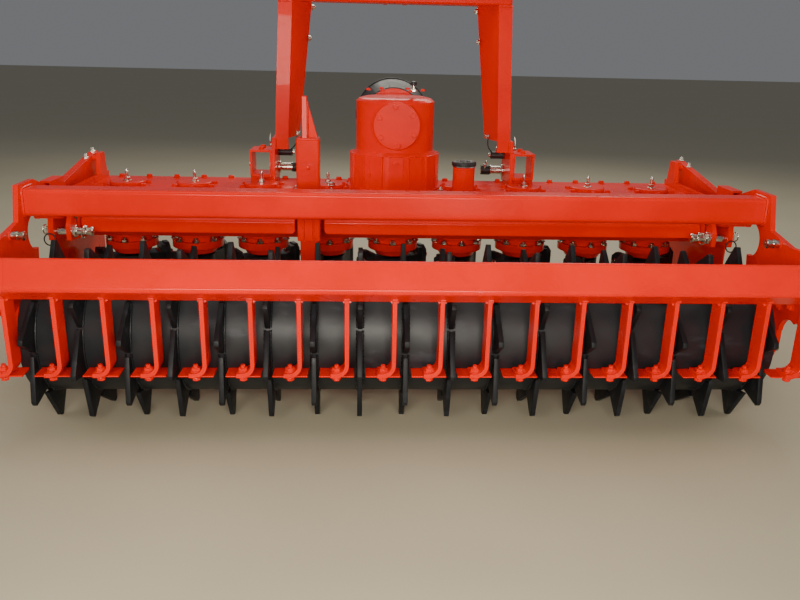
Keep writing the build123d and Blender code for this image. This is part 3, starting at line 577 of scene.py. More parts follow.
# Edges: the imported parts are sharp, so each visible one gets a rounded twin
SOFT_EDGES = (
    ("trough", 4.0), ("trough_lid", 1.6), ("bearing_caps", 1.6), ("bearing_carriers", 2.2),
    ("gearbox_housing", 3.2), ("gearbox_rear_cover", 1.6), ("pto_guard", 1.4), ("filler_tube", 1.0),
    ("hitch_bracket_left", 1.4), ("hitch_bracket_right", 1.4),
    ("lower_link_pin_left", 1.6), ("lower_link_pin_right", 1.6),
    ("headstock_crossbar", 7.0), ("top_link_bracket", 1.6),
    ("trough_end_left", 1.6), ("trough_end_right", 1.6), ("hinge_pins", 1.6), ("depth_pins", 1.6),
    ("rear_guard_left", 1.2), ("rear_guard_right", 1.2), ("stand_leg", 3.0),
    ("roller_arm_left", 1.6), ("roller_arm_right", 1.6), ("roller_bearings", 2.4), ("stop_pins", 1.8),
    ("upper_beam", 0.4), ("lower_beam", 0.4), ("scraper_bars", 1.3), ("pto_shaft", 0.7),
    ("side_deflector_left", 1.3), ("side_deflector_right", 1.3),
)
LEG_FOLD = 9.0
TUBE_CORNER = 8.0


def upright(edge):
    """Whether an edge runs nearly straight up."""
    run = edge.verts[1].co - edge.verts[0].co
    return run.length > 0.05 and abs(run.z) > 0.9 * run.length


def leg_fold(edge):
    """The outer bend where a leg's flange turns into its web."""
    rear = side("headstock_leg_left", 0, 1) * MM
    high = max(vert.co.z for vert in edge.verts)
    inner = min(abs(vert.co.x) for vert in edge.verts)
    outer = max(abs(vert.co.x) for vert in edge.verts)
    near = all(abs(vert.co.y - rear) < 0.001 for vert in edge.verts)
    return upright(edge) and near and high > 1.0 and inner < 0.39 and outer < 0.42


def tube_corner(edge):
    """A standing corner of the stand's square tube."""
    place = edge.verts[0].co / MM
    aside = abs(abs(place.x - STAND_X) - TUBE_HALF) < 0.5
    along = abs(abs(place.y - STAND_Y) - TUBE_HALF) < 0.5
    return upright(edge) and aside and along


class HARROW_OT_edges(bpy.types.Operator):
    """Round the edges of every plate, casting, beam and tube."""
    bl_idname = "harrow.edges"
    bl_label = "Rounded edges"

    def execute(self, context):
        for node, width in SOFT_EDGES:
            soften(node, width)
        for hand in ("left", "right"):
            soften(f"headstock_leg_{hand}", 1.4, rounds=((leg_fold, LEG_FOLD),))
        soften("stand_socket", 1.2, rounds=((tube_corner, TUBE_CORNER),))
        soften("scraper_plates", 0.8, finish="red")
        for number in range(1, 10):
            soften(f"rotor_{number}", 2.2)
        return {"FINISHED"}


# Roller: turned drum with recessed ends and its rings of welded teeth
DRUM_R = 175.0
DRUM_HALF = 1040.0
TIP_R = 255.0
TOOTH_THICK = 14.0
TOOTH_FRONT = 41.0
TOOTH_BACK = 98.0
TOOTH_ROOT = 8.0
TOOTH_TIP = 7.0
RING_XS = [-1000 + 125 * ring for ring in range(17)]
REST_TURN = 11.25


class HARROW_OT_roller(bpy.types.Operator):
    """Turn the drum, weld the wedge teeth on it in phased rings and fit its stub axles."""
    bl_idname = "harrow.roller"
    bl_label = "Packer roller"

    def execute(self, context):
        centre = Vector((0, ROLLER_Y, ROLLER_Z))
        half = [
            (ARM_OUT - 3, 27.5), (ARM_OUT - 5, 30), (DRUM_HALF + 18, 30), (DRUM_HALF + 18, 55),
            (DRUM_HALF + 15, 58), (DRUM_HALF - 22, 58), (DRUM_HALF - 22, 163), (DRUM_HALF - 1, 165),
            (DRUM_HALF, 166.5), (DRUM_HALF, 172), (DRUM_HALF - 1, 174.2), (DRUM_HALF - 3, DRUM_R),
        ]
        outline = [(-along, radius) for along, radius in half] + list(reversed(half))
        drum = Batch()
        drum.turned(centre, (1, 0, 0), outline, sides=128)
        made = drum.done("roller_drum", "roller", "black", sharp=28)
        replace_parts(made, "packer_roller")
        tooth, weld = tooth_template(), tooth_bead_template()
        teeth, welds = Batch(), Batch()
        for ring, x in enumerate(RING_XS):
            first = -90 + (REST_TURN if ring % 2 else -REST_TURN)
            for step in range(8):
                turn = radians(first + 45 * step)
                teeth.copy(tooth, (x, ROLLER_Y, ROLLER_Z), turn)
                welds.copy(weld, (x, ROLLER_Y, ROLLER_Z), turn)
        teeth.done("roller_teeth", "roller", "teeth", sharp=40)
        welds.done("roller_tooth_welds", "roller", "black_weld")
        hubs = Batch()
        for hand in (-1, 1):
            end = centre + Vector((hand * (DRUM_HALF - 21), 0, 0))
            hubs.bead(circle(end, (1, 0, 0), 59, 40), 4.5, closed=True)
            hubs.bead(circle(end, (1, 0, 0), 162, 90), 4.0, closed=True, step=5)
        hubs.done("roller_end_welds", "roller", "black_weld")
        return {"FINISHED"}


def tooth_template():
    """One wedge tooth pointing along +Y from the axis, its edges ground round."""
    made = Batch()
    reach = sqrt(TIP_R ** 2 - TOOTH_TIP ** 2)
    root = DRUM_R - TOOTH_ROOT
    outline = [
        (-TOOTH_THICK / 2, root, TOOTH_FRONT), (-TOOTH_THICK / 2, reach, TOOTH_TIP),
        (-TOOTH_THICK / 2, reach, -TOOTH_TIP), (-TOOTH_THICK / 2, root, -TOOTH_BACK),
    ]
    made.slab(outline, (TOOTH_THICK, 0, 0), edge=1.8)
    return made.template()


def tooth_bead_template():
    """Weld beads along both sides of one tooth where it meets the drum."""
    made = Batch()
    for hand in (-1, 1):
        path = []
        for step in range(13):
            along = TOOTH_FRONT - 4 - (TOOTH_FRONT + TOOTH_BACK - 12) * step / 12
            path.append((hand * (TOOTH_THICK / 2 + 1), sqrt(DRUM_R ** 2 - along ** 2) + 0.6, along))
        made.bead(path, 3.6, step=5.0)
    return made.template()


# Scrapers: a bolt through each foot and plate
SCRAPER_XS = [-1062.5 + 125 * bar for bar in range(18)]
SCRAPER_BACK = side("scraper_bars", 0, 1)
BAR_WIDTH = 56.0
BAR_OFFSET = 28.0
BAR_HALF = 7.0
FOOT_BOLT_Y = SCRAPER_BACK + 22
FOOT_TOP = side("scraper_plates", 1, 2) + 12
PLATE_BOTTOM = side("scraper_plates", 0, 2)
BEAM_Y = mid("lower_beam", 1)
BEAM_Z = mid("lower_beam", 2)
UPPER_Y = mid("upper_beam", 1)
UPPER_Z = mid("upper_beam", 2)
BEAM_HALF = 45.0
UPPER_HALF = 40.0
BEAM_CORNER = 12.0
BEAM_TILT = 32.0


class HARROW_OT_scrapers(bpy.types.Operator):
    """Bolt the scraper plates under their feet and weld the bars to the lower beam."""
    bl_idname = "harrow.scrapers"
    bl_label = "Scraper bolts and welds"

    def execute(self, context):
        bolts, welds = Batch(), Batch()
        spins = random.Random(4)
        for x in SCRAPER_XS:
            bolts.bolt((x, FOOT_BOLT_Y, FOOT_TOP), (0, 0, 1), 13.5, stud=7, spin=spins.random())
            bolts.bolt((x, FOOT_BOLT_Y, PLATE_BOTTOM), (0, 0, -1), 12, spin=spins.random())
            back = []
            for hand in (-1, 1):
                bar_side = x + BAR_OFFSET + hand * BAR_HALF
                loop = square_loop(bar_side, BEAM_Y, BEAM_Z, BEAM_HALF, BEAM_CORNER, BEAM_TILT, 1)
                run = [point for point in loop
                       if SCRAPER_BACK < point.y < SCRAPER_BACK + BAR_WIDTH and point.z < BEAM_Z - 30]
                run.sort(key=lambda point: point.y)
                welds.bead(run, 4.2)
                back.append((bar_side, SCRAPER_BACK - 1, bottom_of_beam(SCRAPER_BACK) + 1))
            welds.bead(back, 4.2)
        bolts.done("scraper_bolts", "roller_frame", "red")
        welds.done("scraper_welds", "roller_frame", "red_weld")
        return {"FINISHED"}


def bottom_of_beam(y):
    """Height of the lower beam's underside at one Y place."""
    loop = square_loop(0, BEAM_Y, BEAM_Z, BEAM_HALF, BEAM_CORNER, BEAM_TILT)
    below = [point for point in loop if point.z < BEAM_Z]
    below.sort(key=lambda point: point.y)
    for one, two in zip(below, below[1:]):
        if one.y <= y <= two.y:
            share = (y - one.y) / max(two.y - one.y, 0.001)
            return one.z + share * (two.z - one.z)
    raise ValueError("the scraper bars don't reach the lower beam")


class HARROW_OT_frame_welds(bpy.types.Operator):
    """Run the weld beads that join the roller frame's arms, beams and pins."""
    bl_idname = "harrow.frame_welds"
    bl_label = "Roller frame welds"

    def execute(self, context):
        welds = Batch()
        for hand in (-1, 1):
            x = hand * (ARM_IN - 1)
            lower = square_loop(x, BEAM_Y, BEAM_Z, BEAM_HALF, BEAM_CORNER, BEAM_TILT, 1.5)
            upper = square_loop(x, UPPER_Y, UPPER_Z, UPPER_HALF, BEAM_CORNER, 0, 1.5)
            for loop in (lower, upper):
                welds.bead(loop, 5.0, closed=True)
            stop = (x, mid("stop_pins", 1), mid("stop_pins", 2))
            welds.bead(circle(stop, (1, 0, 0), 12.5, 24), 3.5, closed=True)
        welds.done("roller_frame_welds", "roller_frame", "red_weld")
        return {"FINISHED"}


def circle(centre, axis, radius, count, start=0.0):
    """Points round a circle about an axis."""
    axis = Vector(axis).normalized()
    out, up = square_to(axis)
    turns = [start + tau * step / count for step in range(count)]
    return [Vector(centre) + (out * cos(turn) + up * sin(turn)) * radius for turn in turns]


ARM_BOLTS = ((-65, 211), (-64, 353), (-119, 370))
BEARING_BOLT_R = 54


class HARROW_OT_bearings(bpy.types.Operator):
    """Bolt the roller's bearings to the arms, with seals and grease nipples."""
    bl_idname = "harrow.bearings"
    bl_label = "Roller bearings"

    def execute(self, context):
        red, zinc, dark = Batch(), Batch(), Batch()
        inner = side("roller_bearings", 1, 0) - 34
        for hand in (-1, 1):
            outer_face = (hand * ARM_OUT, ROLLER_Y, ROLLER_Z)
            inner_face = (hand * inner, ROLLER_Y, ROLLER_Z)
            for place in circle(outer_face, (1, 0, 0), BEARING_BOLT_R, 4, radians(45)):
                zinc.bolt(place, (hand, 0, 0), 14, stud=6)
            for place in circle(inner_face, (1, 0, 0), BEARING_BOLT_R, 4, radians(45)):
                zinc.bolt(place, (-hand, 0, 0), 11, washer=False)
            for back, z in ARM_BOLTS:
                red.bolt((hand * ARM_IN, ROLLER_Y + back, z), (-hand, 0, 0), 12, stud=5)
            dark.turned(outer_face, (hand, 0, 0),
                        [(-8, 33), (-6, 33.6), (-6, 31), (-8, 31)], 40, closed=True)
            zinc.turned((hand * (inner + 17), ROLLER_Y, ROLLER_Z + 69), (0, 0, 1),
                        [(0, 5), (4, 5), (4, 3.2), (9, 3.0), (10, 4), (13, 3.4), (14, 1.5)], 10)
        red.done("roller_arm_bolts", "roller_frame", "red")
        zinc.done("roller_bearing_bolts", "roller_frame", "zinc")
        dark.done("roller_bearing_seals", "roller_frame", "plastic")
        return {"FINISHED"}


# Bearing carriers and rotors
CARRIER_FLANGE_Z = 331.0
CARRIER_STUD_R = 86.5
CARRIER_STUDS = 8
TINE_OUT_R = 134.0
EAR_IN_R = 98.0
HOLDER_BOTTOM_Z = 222.0
REST_HEADING = 28.0
TINE_BOLT_Z = 262.0


class HARROW_OT_rotor_bolts(bpy.types.Operator):
    """Fit the carriers' studs and nuts, the tines' bolts and each shaft's nut."""
    bl_idname = "harrow.rotor_bolts"
    bl_label = "Carrier and tine bolts"

    def execute(self, context):
        studs = Batch()
        for number, x in enumerate(ROTOR_XS):
            start = radians(6 if number % 2 else -2)
            centre = (x, ROTOR_Y, CARRIER_FLANGE_Z)
            for place in circle(centre, (0, 0, 1), CARRIER_STUD_R, CARRIER_STUDS, start):
                studs.bolt(place, (0, 0, 1), 14, stud=14, spin=number * 0.4)
        studs.done("carrier_studs", "harrow", "zinc")
        for number, x in enumerate(ROTOR_XS, start=1):
            heading = radians(REST_HEADING if number % 2 else 90 - REST_HEADING)
            fit_tine_bolts(number, x, heading)
        return {"FINISHED"}


def fit_tine_bolts(number, x, heading):
    """Two bolts through each tine's head, and the nut that holds the holder on its shaft."""
    bolts = Batch()
    centre = Vector((x, ROTOR_Y, 0))
    for turn in (1, -1):
        out = Vector((cos(heading), sin(heading), 0)) * turn
        aside = Vector((-out.y, out.x, 0))
        for offset in (-16, 16):
            seat = centre + aside * offset + Vector((0, 0, TINE_BOLT_Z))
            bolts.bolt(seat + out * TINE_OUT_R, out, 14, spin=0.2 * offset)
            bolts.bolt(seat + out * EAR_IN_R, -out, 14, stud=5, spin=0.1 * offset)
    bottom = Vector((x, ROTOR_Y, HOLDER_BOTTOM_Z))
    bolts.turned(bottom, (0, 0, -1), [(0, 40), (3.5, 40), (4, 39)], 32)
    bolts.turned(bottom + Vector((0, 0, -4)), (0, 0, -1), [(0, 33), (1, 34.5), (17, 34.5), (20, 31)], 6)
    bolts.turned(bottom + Vector((0, 0, -23)), (0, 0, -1), [(0, 19), (5, 19), (7, 17)], 24)
    split = [bottom + Vector((-38, 0, -19)), bottom + Vector((38, 0, -19))]
    bolts.bar(split, 2.5, 8)
    bolts.done(f"tine_bolts_{number}", f"rotor_{number}", "zinc")


# Trough: lid bolts, cap bolts and the greasing stem on each cap
CAP_TOP_Z = side("bearing_caps", 1, 2)
GUARD_TOP_Z = side("rear_guard_right", 1, 2)
REAR_BOLT_Y = FLANGE_BACK + 13
FRONT_BOLT_Y = FLANGE_FRONT - 15
CAP_BOLT_R = 78
END_BOLTS = ((-160, 470), (-96, 486), (-32, 486), (32, 486), (96, 486), (160, 470), (-70, 400), (70, 400))


class HARROW_OT_trough_bolts(bpy.types.Operator):
    """Bolt down the lid, the caps and the end plates."""
    bl_idname = "harrow.trough_bolts"
    bl_label = "Trough bolts"

    def execute(self, context):
        red, zinc, welds = Batch(), Batch(), Batch()
        spins = random.Random(9)
        for step in range(21):
            x = -1070 + 107 * step
            on_sheet = LID_Z if abs(x - STAND_X) < 60 or abs(x) > 1068 else GUARD_TOP_Z
            red.bolt((x, REAR_BOLT_Y, on_sheet), (0, 0, 1), 10, spin=spins.random())
            red.bolt((x, FRONT_BOLT_Y, LID_Z), (0, 0, 1), 12, spin=spins.random())
            for y in (REAR_BOLT_Y, FRONT_BOLT_Y):
                zinc.bolt((x, y, FLANGE_Z - 14), (0, 0, -1), 11, stud=8, spin=spins.random())
        for x in ROTOR_XS:
            if abs(x) < 10:
                continue
            zinc.turned((x, ROTOR_Y, CAP_TOP_Z), (0, 0, 1), [(0, 16), (2.5, 16), (3, 15)], 24)
            zinc.turned((x, ROTOR_Y, CAP_TOP_Z + 3), (0, 0, 1), [(0, 10), (0.8, 11), (9, 11), (10, 9.4)], 6)
            zinc.turned((x, ROTOR_Y, CAP_TOP_Z + 12), (0, 0, 1),
                        [(0, 5.2), (16, 5.2), (17, 6.4), (22, 6.4), (24, 4), (29, 3.4), (31, 1.6)], 16)
            for place in circle((x, ROTOR_Y, LID_Z), (0, 0, 1), CAP_BOLT_R, 6, radians(30)):
                red.bolt(place, (0, 0, 1), 11, spin=spins.random())
        for hand in (-1, 1):
            for y, z in END_BOLTS:
                red.bolt((hand * PLATE_OUT, ROTOR_Y + y, z), (hand, 0, 0), 12, spin=spins.random())
        for x, z in ((STAND_X - 62, LID_Z), (STAND_X + 66, CAP_TOP_Z)):
            zinc.bolt((x, ROTOR_Y - 50, z), (0, 0, 1), 14, spin=0.7)
        red.done("lid_bolts", "harrow", "red")
        zinc.done("cap_stems", "harrow", "zinc")
        filler = (mid("filler_tube", 0), mid("filler_tube", 1), LID_Z + 1)
        welds.bead(circle(filler, (0, 0, 1), 41.5, 50), 4.0, closed=True)
        welds.done("filler_weld", "harrow", "red_weld")
        return {"FINISHED"}


# Gearbox dressing
GEAR_TOP_Z = side("gearbox_housing", 1, 2)
COVER_BACK = side("gearbox_rear_cover", 0, 1)
INPUT_Z = joints["pto_spin"]["pos_m"][2] / MM
FILLER_X = mid("filler_cap", 0)
FILLER_Y = mid("filler_cap", 1)
FILLER_Z = side("filler_cap", 0, 2)
TOP_BOLT_R = 100
COVER_BOLT_R = 68
BASE_BOLT_R = 192
DRUM_WALL_R = 163


class HARROW_OT_gearbox(bpy.types.Operator):
    """Bolt on the gearbox's covers and fit its breather, plugs and filler cap."""
    bl_idname = "harrow.gearbox"
    bl_label = "Gearbox fittings"

    def execute(self, context):
        red, zinc, black, steel = Batch(), Batch(), Batch(), Batch()
        top = Vector((0, ROTOR_Y, GEAR_TOP_Z))
        for place in circle(top, (0, 0, 1), TOP_BOLT_R, 6):
            red.bolt(place, (0, 0, 1), 8.5, spin=place.x)
        back = Vector((0, COVER_BACK, INPUT_Z))
        for place in circle(back, (0, 1, 0), COVER_BOLT_R, 6, radians(25)):
            red.bolt(place, (0, -1, 0), 10.5, spin=place.x)
        base = (0, ROTOR_Y, LID_Z)
        for number, place in enumerate(circle(base, (0, 0, 1), BASE_BOLT_R, 12, radians(2))):
            if abs(place.x) > 150 or place.y < ROTOR_Y - 150:
                batch = zinc if number == 11 else red
                batch.bolt(place, (0, 0, 1), 13, stud=9, spin=number)
        breather = Vector((62, ROTOR_Y - 58, GEAR_TOP_Z))
        zinc.turned(breather, (0, 0, 1), [(0, 10), (1, 11), (7, 11), (8, 9), (8, 5.6), (22, 5.6)], 6)
        zinc.turned(breather, (0, 0, 1), [(7, 5.8), (24, 5.8)], 20)
        black.turned(breather + Vector((0, 0, 22)), (0, 0, 1),
                     [(0, 9), (1.5, 12), (10, 12), (13, 10), (14.5, 5)], 24)
        for x, z in ((0, 650), (-92, 610)):
            seat = Vector((x, ROTOR_Y - sqrt(DRUM_WALL_R ** 2 - x ** 2), z))
            out = Vector((x, seat.y - ROTOR_Y, 0)).normalized()
            red.turned(seat, out, [(-4, 12), (2.5, 12), (3.5, 10.5), (3.5, 7), (8, 7), (9, 6)], 6)
        knurled_cap().done("filler_grip", "harrow", "plastic", sharp=40)
        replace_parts(finished_cap(), "filler_cap")
        steel.turned((FILLER_X, FILLER_Y, FILLER_Z), (0, 0, -1),
                     [(0.5, 41.5), (2.5, 42.3), (4, 41.5), (4, 39), (0.5, 39)], 64, closed=True)
        red.done("gearbox_bolts", "harrow", "red")
        zinc.done("gearbox_breather", "harrow", "zinc")
        black.done("gearbox_breather_cap", "harrow", "plastic", sharp=32)
        steel.done("filler_ring", "harrow", "steel")
        return {"FINISHED"}


def finished_cap():
    """The oil filler's moulded cap, dished on top."""
    cap = Batch()
    outline = [(0, 42), (1, 44), (12, 44), (14.5, 42.8), (16, 40), (16, 30), (13.5, 27), (13, 10)]
    cap.turned((FILLER_X, FILLER_Y, FILLER_Z), (0, 0, 1), outline, 72)
    return cap.done("filler_cap_dressed", "harrow", "plastic", sharp=40)


def knurled_cap():
    """Ribs round the filler cap's rim and its cross grip."""
    grip = Batch()
    for place in circle((FILLER_X, FILLER_Y, FILLER_Z + 2.5), (0, 0, 1), 43.0, 36):
        grip.turned(place, (0, 0, 1), [(0, 1.2), (0.8, 1.7), (9, 1.7), (10, 1.0)], 8)
    for turn in (0.4, 0.4 + pi / 2):
        out = Vector((cos(turn), sin(turn), 0)) * 24
        aside = Vector((-sin(turn), cos(turn), 0)) * 3.2
        centre = Vector((FILLER_X, FILLER_Y, FILLER_Z + 12))
        corners = [centre - out - aside, centre + out - aside, centre + out + aside, centre - out + aside]
        grip.slab(corners, (0, 0, 3.6), edge=0.8)
    return grip


# Headstock: link pins, retaining pins and the welds of the legs
LINK_PIN_Y = mid("lower_link_pin_right", 1)
LINK_PIN_Z = mid("lower_link_pin_right", 2)
LINK_PIN_INNER = side("lower_link_pin_right", 0, 0)
PLATE_IN = 455.0
PLATE_THICK = 12.0
LEG_BACK = side("headstock_leg_right", 0, 1)
LEG_FRONT = side("headstock_leg_right", 1, 1)
LEG_FOOT_Z = side("headstock_leg_right", 0, 2)
BAR_Z = side("headstock_crossbar", 0, 2)
BOX_BACK = side("hitch_bracket_right", 0, 1) + 10
BOX_OUT = side("hitch_bracket_right", 1, 0)
BOX_TOP_Z = 660
LEG_BOLT_Y = 588
LEG_BOLTS = ((382, 716), (330, 1071), (316, 1182))


class HARROW_OT_hitch(bpy.types.Operator):
    """Fit the headstock's pins, clips and bolts."""
    bl_idname = "harrow.hitch"
    bl_label = "Hitch fittings"

    def execute(self, context):
        zinc, black, red, wire = Batch(), Batch(), Batch(), Batch()
        for hand in (-1, 1):
            inner = Vector((hand * LINK_PIN_INNER, LINK_PIN_Y, LINK_PIN_Z))
            out = Vector((hand, 0, 0))
            black.turned(inner, out, [(1, 17), (2.5, 19), (36, 19), (38, 17)], 32)
            zinc.turned(inner, out, [(38, 18), (39, 20), (42, 20), (43, 18)], 32)
            zinc.turned(inner, out, [(43, 15.5), (44, 16.5), (80, 16.5), (81, 15.5)], 28)
            hole = inner + out * 12
            zinc.linch(hole + Vector((0, 0, 4)), (0.15, -0.5, 1), (0, -1, 0.2), 34)
            keeper = Vector((hand * PLATE_IN, LINK_PIN_Y - 12, LINK_PIN_Z + 62))
            black.turned(keeper, -out, [(0, 13), (2, 14.5), (54, 14.5), (56, 12)], 28)
            zinc.turned(keeper - out * 56, -out, [(0, 8), (8, 8), (9, 7)], 20)
            zinc.linch(keeper - out * 30 + Vector((0, 0, 12)), (0, -0.3, 1), (hand * 0.4, -1, 0), 30)
            start = keeper - out * 50 + Vector((0, 0, 12))
            end = Vector((hand * 376, LEG_BACK + 40, 718))
            middle = start.lerp(end, 0.5) + Vector((-hand * 10, -6, -4))
            wire.bar(curved(start, middle, end, 18), 2.2, 8)
            zinc.bolt(end + out, -out, 9, stud=6)
            for x, z in LEG_BOLTS:
                zinc.bolt((hand * x, LEG_BOLT_Y, z), -out, 11, stud=5)
            for along in (30, 88):
                red.bolt((hand * (BOX_OUT - 42), BOX_BACK + along, BOX_TOP_Z), (0, 0, 1), 12)
            zinc.bolt((hand * (BOX_OUT - 1), BOX_BACK + 40, 600), (hand, 0, 0), 10)
            clip = Vector((hand * (PLATE_IN + PLATE_THICK + 5), LEG_BACK - 4, 678))
            bends = ((0, 0, 0), (0, -8, 14), (0, -3, 32), (0, 8, 44))
            zinc.bar([clip + Vector(bend) for bend in bends], 3, 8)
            zinc.turned(clip + Vector((0, 0, -6)), (0, 0, 1), [(0, 7), (2, 8), (9, 8), (10, 6)], 20)
        zinc.done("hitch_pins", "harrow", "zinc")
        black.done("hitch_sleeves", "harrow", "plastic")
        red.done("hitch_bolts", "harrow", "red")
        wire.done("hitch_tethers", "harrow", "plastic", sharp=60)
        return {"FINISHED"}


def curved(start, middle, end, count):
    """Points of a smooth arch through three places."""
    points = []
    for step in range(count + 1):
        share = step / count
        bend = 2 * middle - (start + end) / 2
        points.append(start * (1 - share) ** 2 + bend * 2 * share * (1 - share) + end * share ** 2)
    return points


class HARROW_OT_headstock_welds(bpy.types.Operator):
    """Weld the legs, plates, boxes, crossbar and ears together."""
    bl_idname = "harrow.headstock_welds"
    bl_label = "Headstock welds"

    def execute(self, context):
        welds = Batch()
        for hand in (-1, 1):
            inner = hand * (PLATE_IN - 1)
            outer = hand * (PLATE_IN + PLATE_THICK + 1)
            rear = side("hitch_bracket_right", 0, 1) + 4
            for x in (inner, outer):
                welds.bead([(x, rear, LID_Z + 1), (x, FLANGE_FRONT - 6, LID_Z + 1)], 5)
            for y in (LEG_BACK - 1, LEG_BACK + 13):
                welds.bead([(inner, y, LEG_FOOT_Z), (inner, y, 700)], 4.5)
            for z in (LID_Z + 25, LID_Z + 125):
                welds.bead([(outer, BOX_BACK + 4, z), (outer, BOX_BACK + 112, z)], 4)
            start = outer + hand * 4
            for y, z, short, radius in ((BOX_BACK + 9, LID_Z + 1, 2, 4), (BOX_BACK - 1, LID_Z + 24, 6, 3)):
                welds.bead([(start, y, z), (hand * (BOX_OUT - short), y, z)], radius)
            for offset in (-1, 1):
                x = hand * (406 + offset * 24)
                welds.bead([(x, LEG_BACK + 2, BAR_Z - 1), (x - hand * 4, LEG_BACK + 11, BAR_Z - 1)], 4)
            welds.bead([(hand * 430, LEG_BACK, BAR_Z - 1), (hand * 383, LEG_BACK, BAR_Z - 1)], 4.5)
            welds.bead([(hand * 378, LEG_BACK + 14, BAR_Z - 1), (hand * 318, LEG_FRONT - 3, BAR_Z - 1)], 4)
            for x in (30, 46):
                welds.bead([(hand * x, LEG_FRONT + 1, BAR_Z + 4), (hand * x, LEG_FRONT + 1, BAR_Z + 84)], 4.5)
        welds.done("headstock_welds", "harrow", "red_weld")
        return {"FINISHED"}


# Hinges of the roller arms and the depth pins
DEPTH_Y = mid("depth_pins", 1)
DEPTH_Z = mid("depth_pins", 2)
DEPTH_GRIP = CHEEK_IN - 56


class HARROW_OT_hinges(bpy.types.Operator):
    """Fit the hinge and depth pins with washers, linch pins, rings and tethers."""
    bl_idname = "harrow.hinges"
    bl_label = "Hinge and depth pins"

    def execute(self, context):
        zinc, wire, welds = Batch(), Batch(), Batch()
        for hand in (-1, 1):
            out = Vector((hand, 0, 0))
            for y, z, radius in ((HINGE_Y, HINGE_Z, 15), (DEPTH_Y, DEPTH_Z, 12)):
                face = Vector((hand * PLATE_OUT, y, z))
                zinc.turned(face, out, [(0, radius + 11), (3.4, radius + 11), (4, radius + 10)], 36)
                zinc.turned(face, out, [(3, radius + 5), (9, radius + 5), (11.5, radius + 2)], 36)
                inner = Vector((hand * CHEEK_IN, y, z))
                zinc.turned(inner, -out, [(0, radius + 9), (3, radius + 9), (3.5, radius + 8)], 32)
            grip = Vector((hand * (CHEEK_IN - 9), HINGE_Y, HINGE_Z))
            zinc.linch(grip, (0, 0.2, 1), (0, -1, 0.2), 34)
            long_end = Vector((hand * (DEPTH_GRIP + 13), DEPTH_Y, DEPTH_Z))
            zinc.linch(long_end + Vector((0, -2, 2)), (0.1, -0.7, 0.7), (0, -1, -0.6), 36)
            zinc.turned(long_end, -out, [(11, 12.2), (13, 15), (19, 15), (22, 12)], 28)
            for y, z in ((HINGE_Y - 34, HINGE_Z - 22), (HINGE_Y + 40, HINGE_Z - 18)):
                zinc.bolt((hand * CHEEK_IN, y, z), -out, 12, stud=8)
            ring = Vector((hand * (PLATE_OUT - 5), DEPTH_Y - 31, DEPTH_Z - 22))
            wire.bar(circle(ring, (0.1 * hand, -1, 0.12), 19, 32), 2.2, 8, closed=True)
            pin_end = Vector((hand * (PLATE_OUT + 9), DEPTH_Y, DEPTH_Z))
            zinc.linch(pin_end, (0, -0.5, 1), (0, -1, -0.2), 28)
            start = long_end + Vector((hand * 12, -14, -10))
            end = Vector((hand * (CHEEK_IN - 4), HINGE_Y - 34, HINGE_Z - 28))
            slack = start.lerp(end, 0.5) + Vector((0, -10, -18))
            wire.bar(curved(start, slack, end, 16), 1.6, 8)
            for x in (PLATE_OUT - 19, CHEEK_IN + 16):
                welds.bead([(hand * x, HINGE_Y + 68, z) for z in (430, 500)], 4)
        zinc.done("hinge_fittings", "harrow", "zinc")
        wire.done("hinge_tethers", "harrow", "plastic", sharp=60)
        welds.done("hinge_welds", "harrow", "red_weld")
        rings = Batch()
        for hand in (-1, 1):
            end = (hand * side("stop_pins", 1, 0), mid("stop_pins", 1), mid("stop_pins", 2))
            rings.turned(end, (-hand, 0, 0), [(16, 13.4), (19, 13.8), (22, 13.4)], 28)
            rings.turned(end, (-hand, 0, 0), [(33, 13.2), (34, 14), (39, 14), (41, 11)], 28)
        rings.done("stop_pin_collars", "roller_frame", "zinc")
        return {"FINISHED"}


# Stand: welds of the blade and tube, and the clip that holds the leg
TUBE_TOP_Z = 752.0
TUBE_BOTTOM_Z = side("stand_socket", 0, 2)
TUBE_HALF = 38.0
BLADE_X = STAND_X - 10
BLADE_FOOT_Z = 498.0


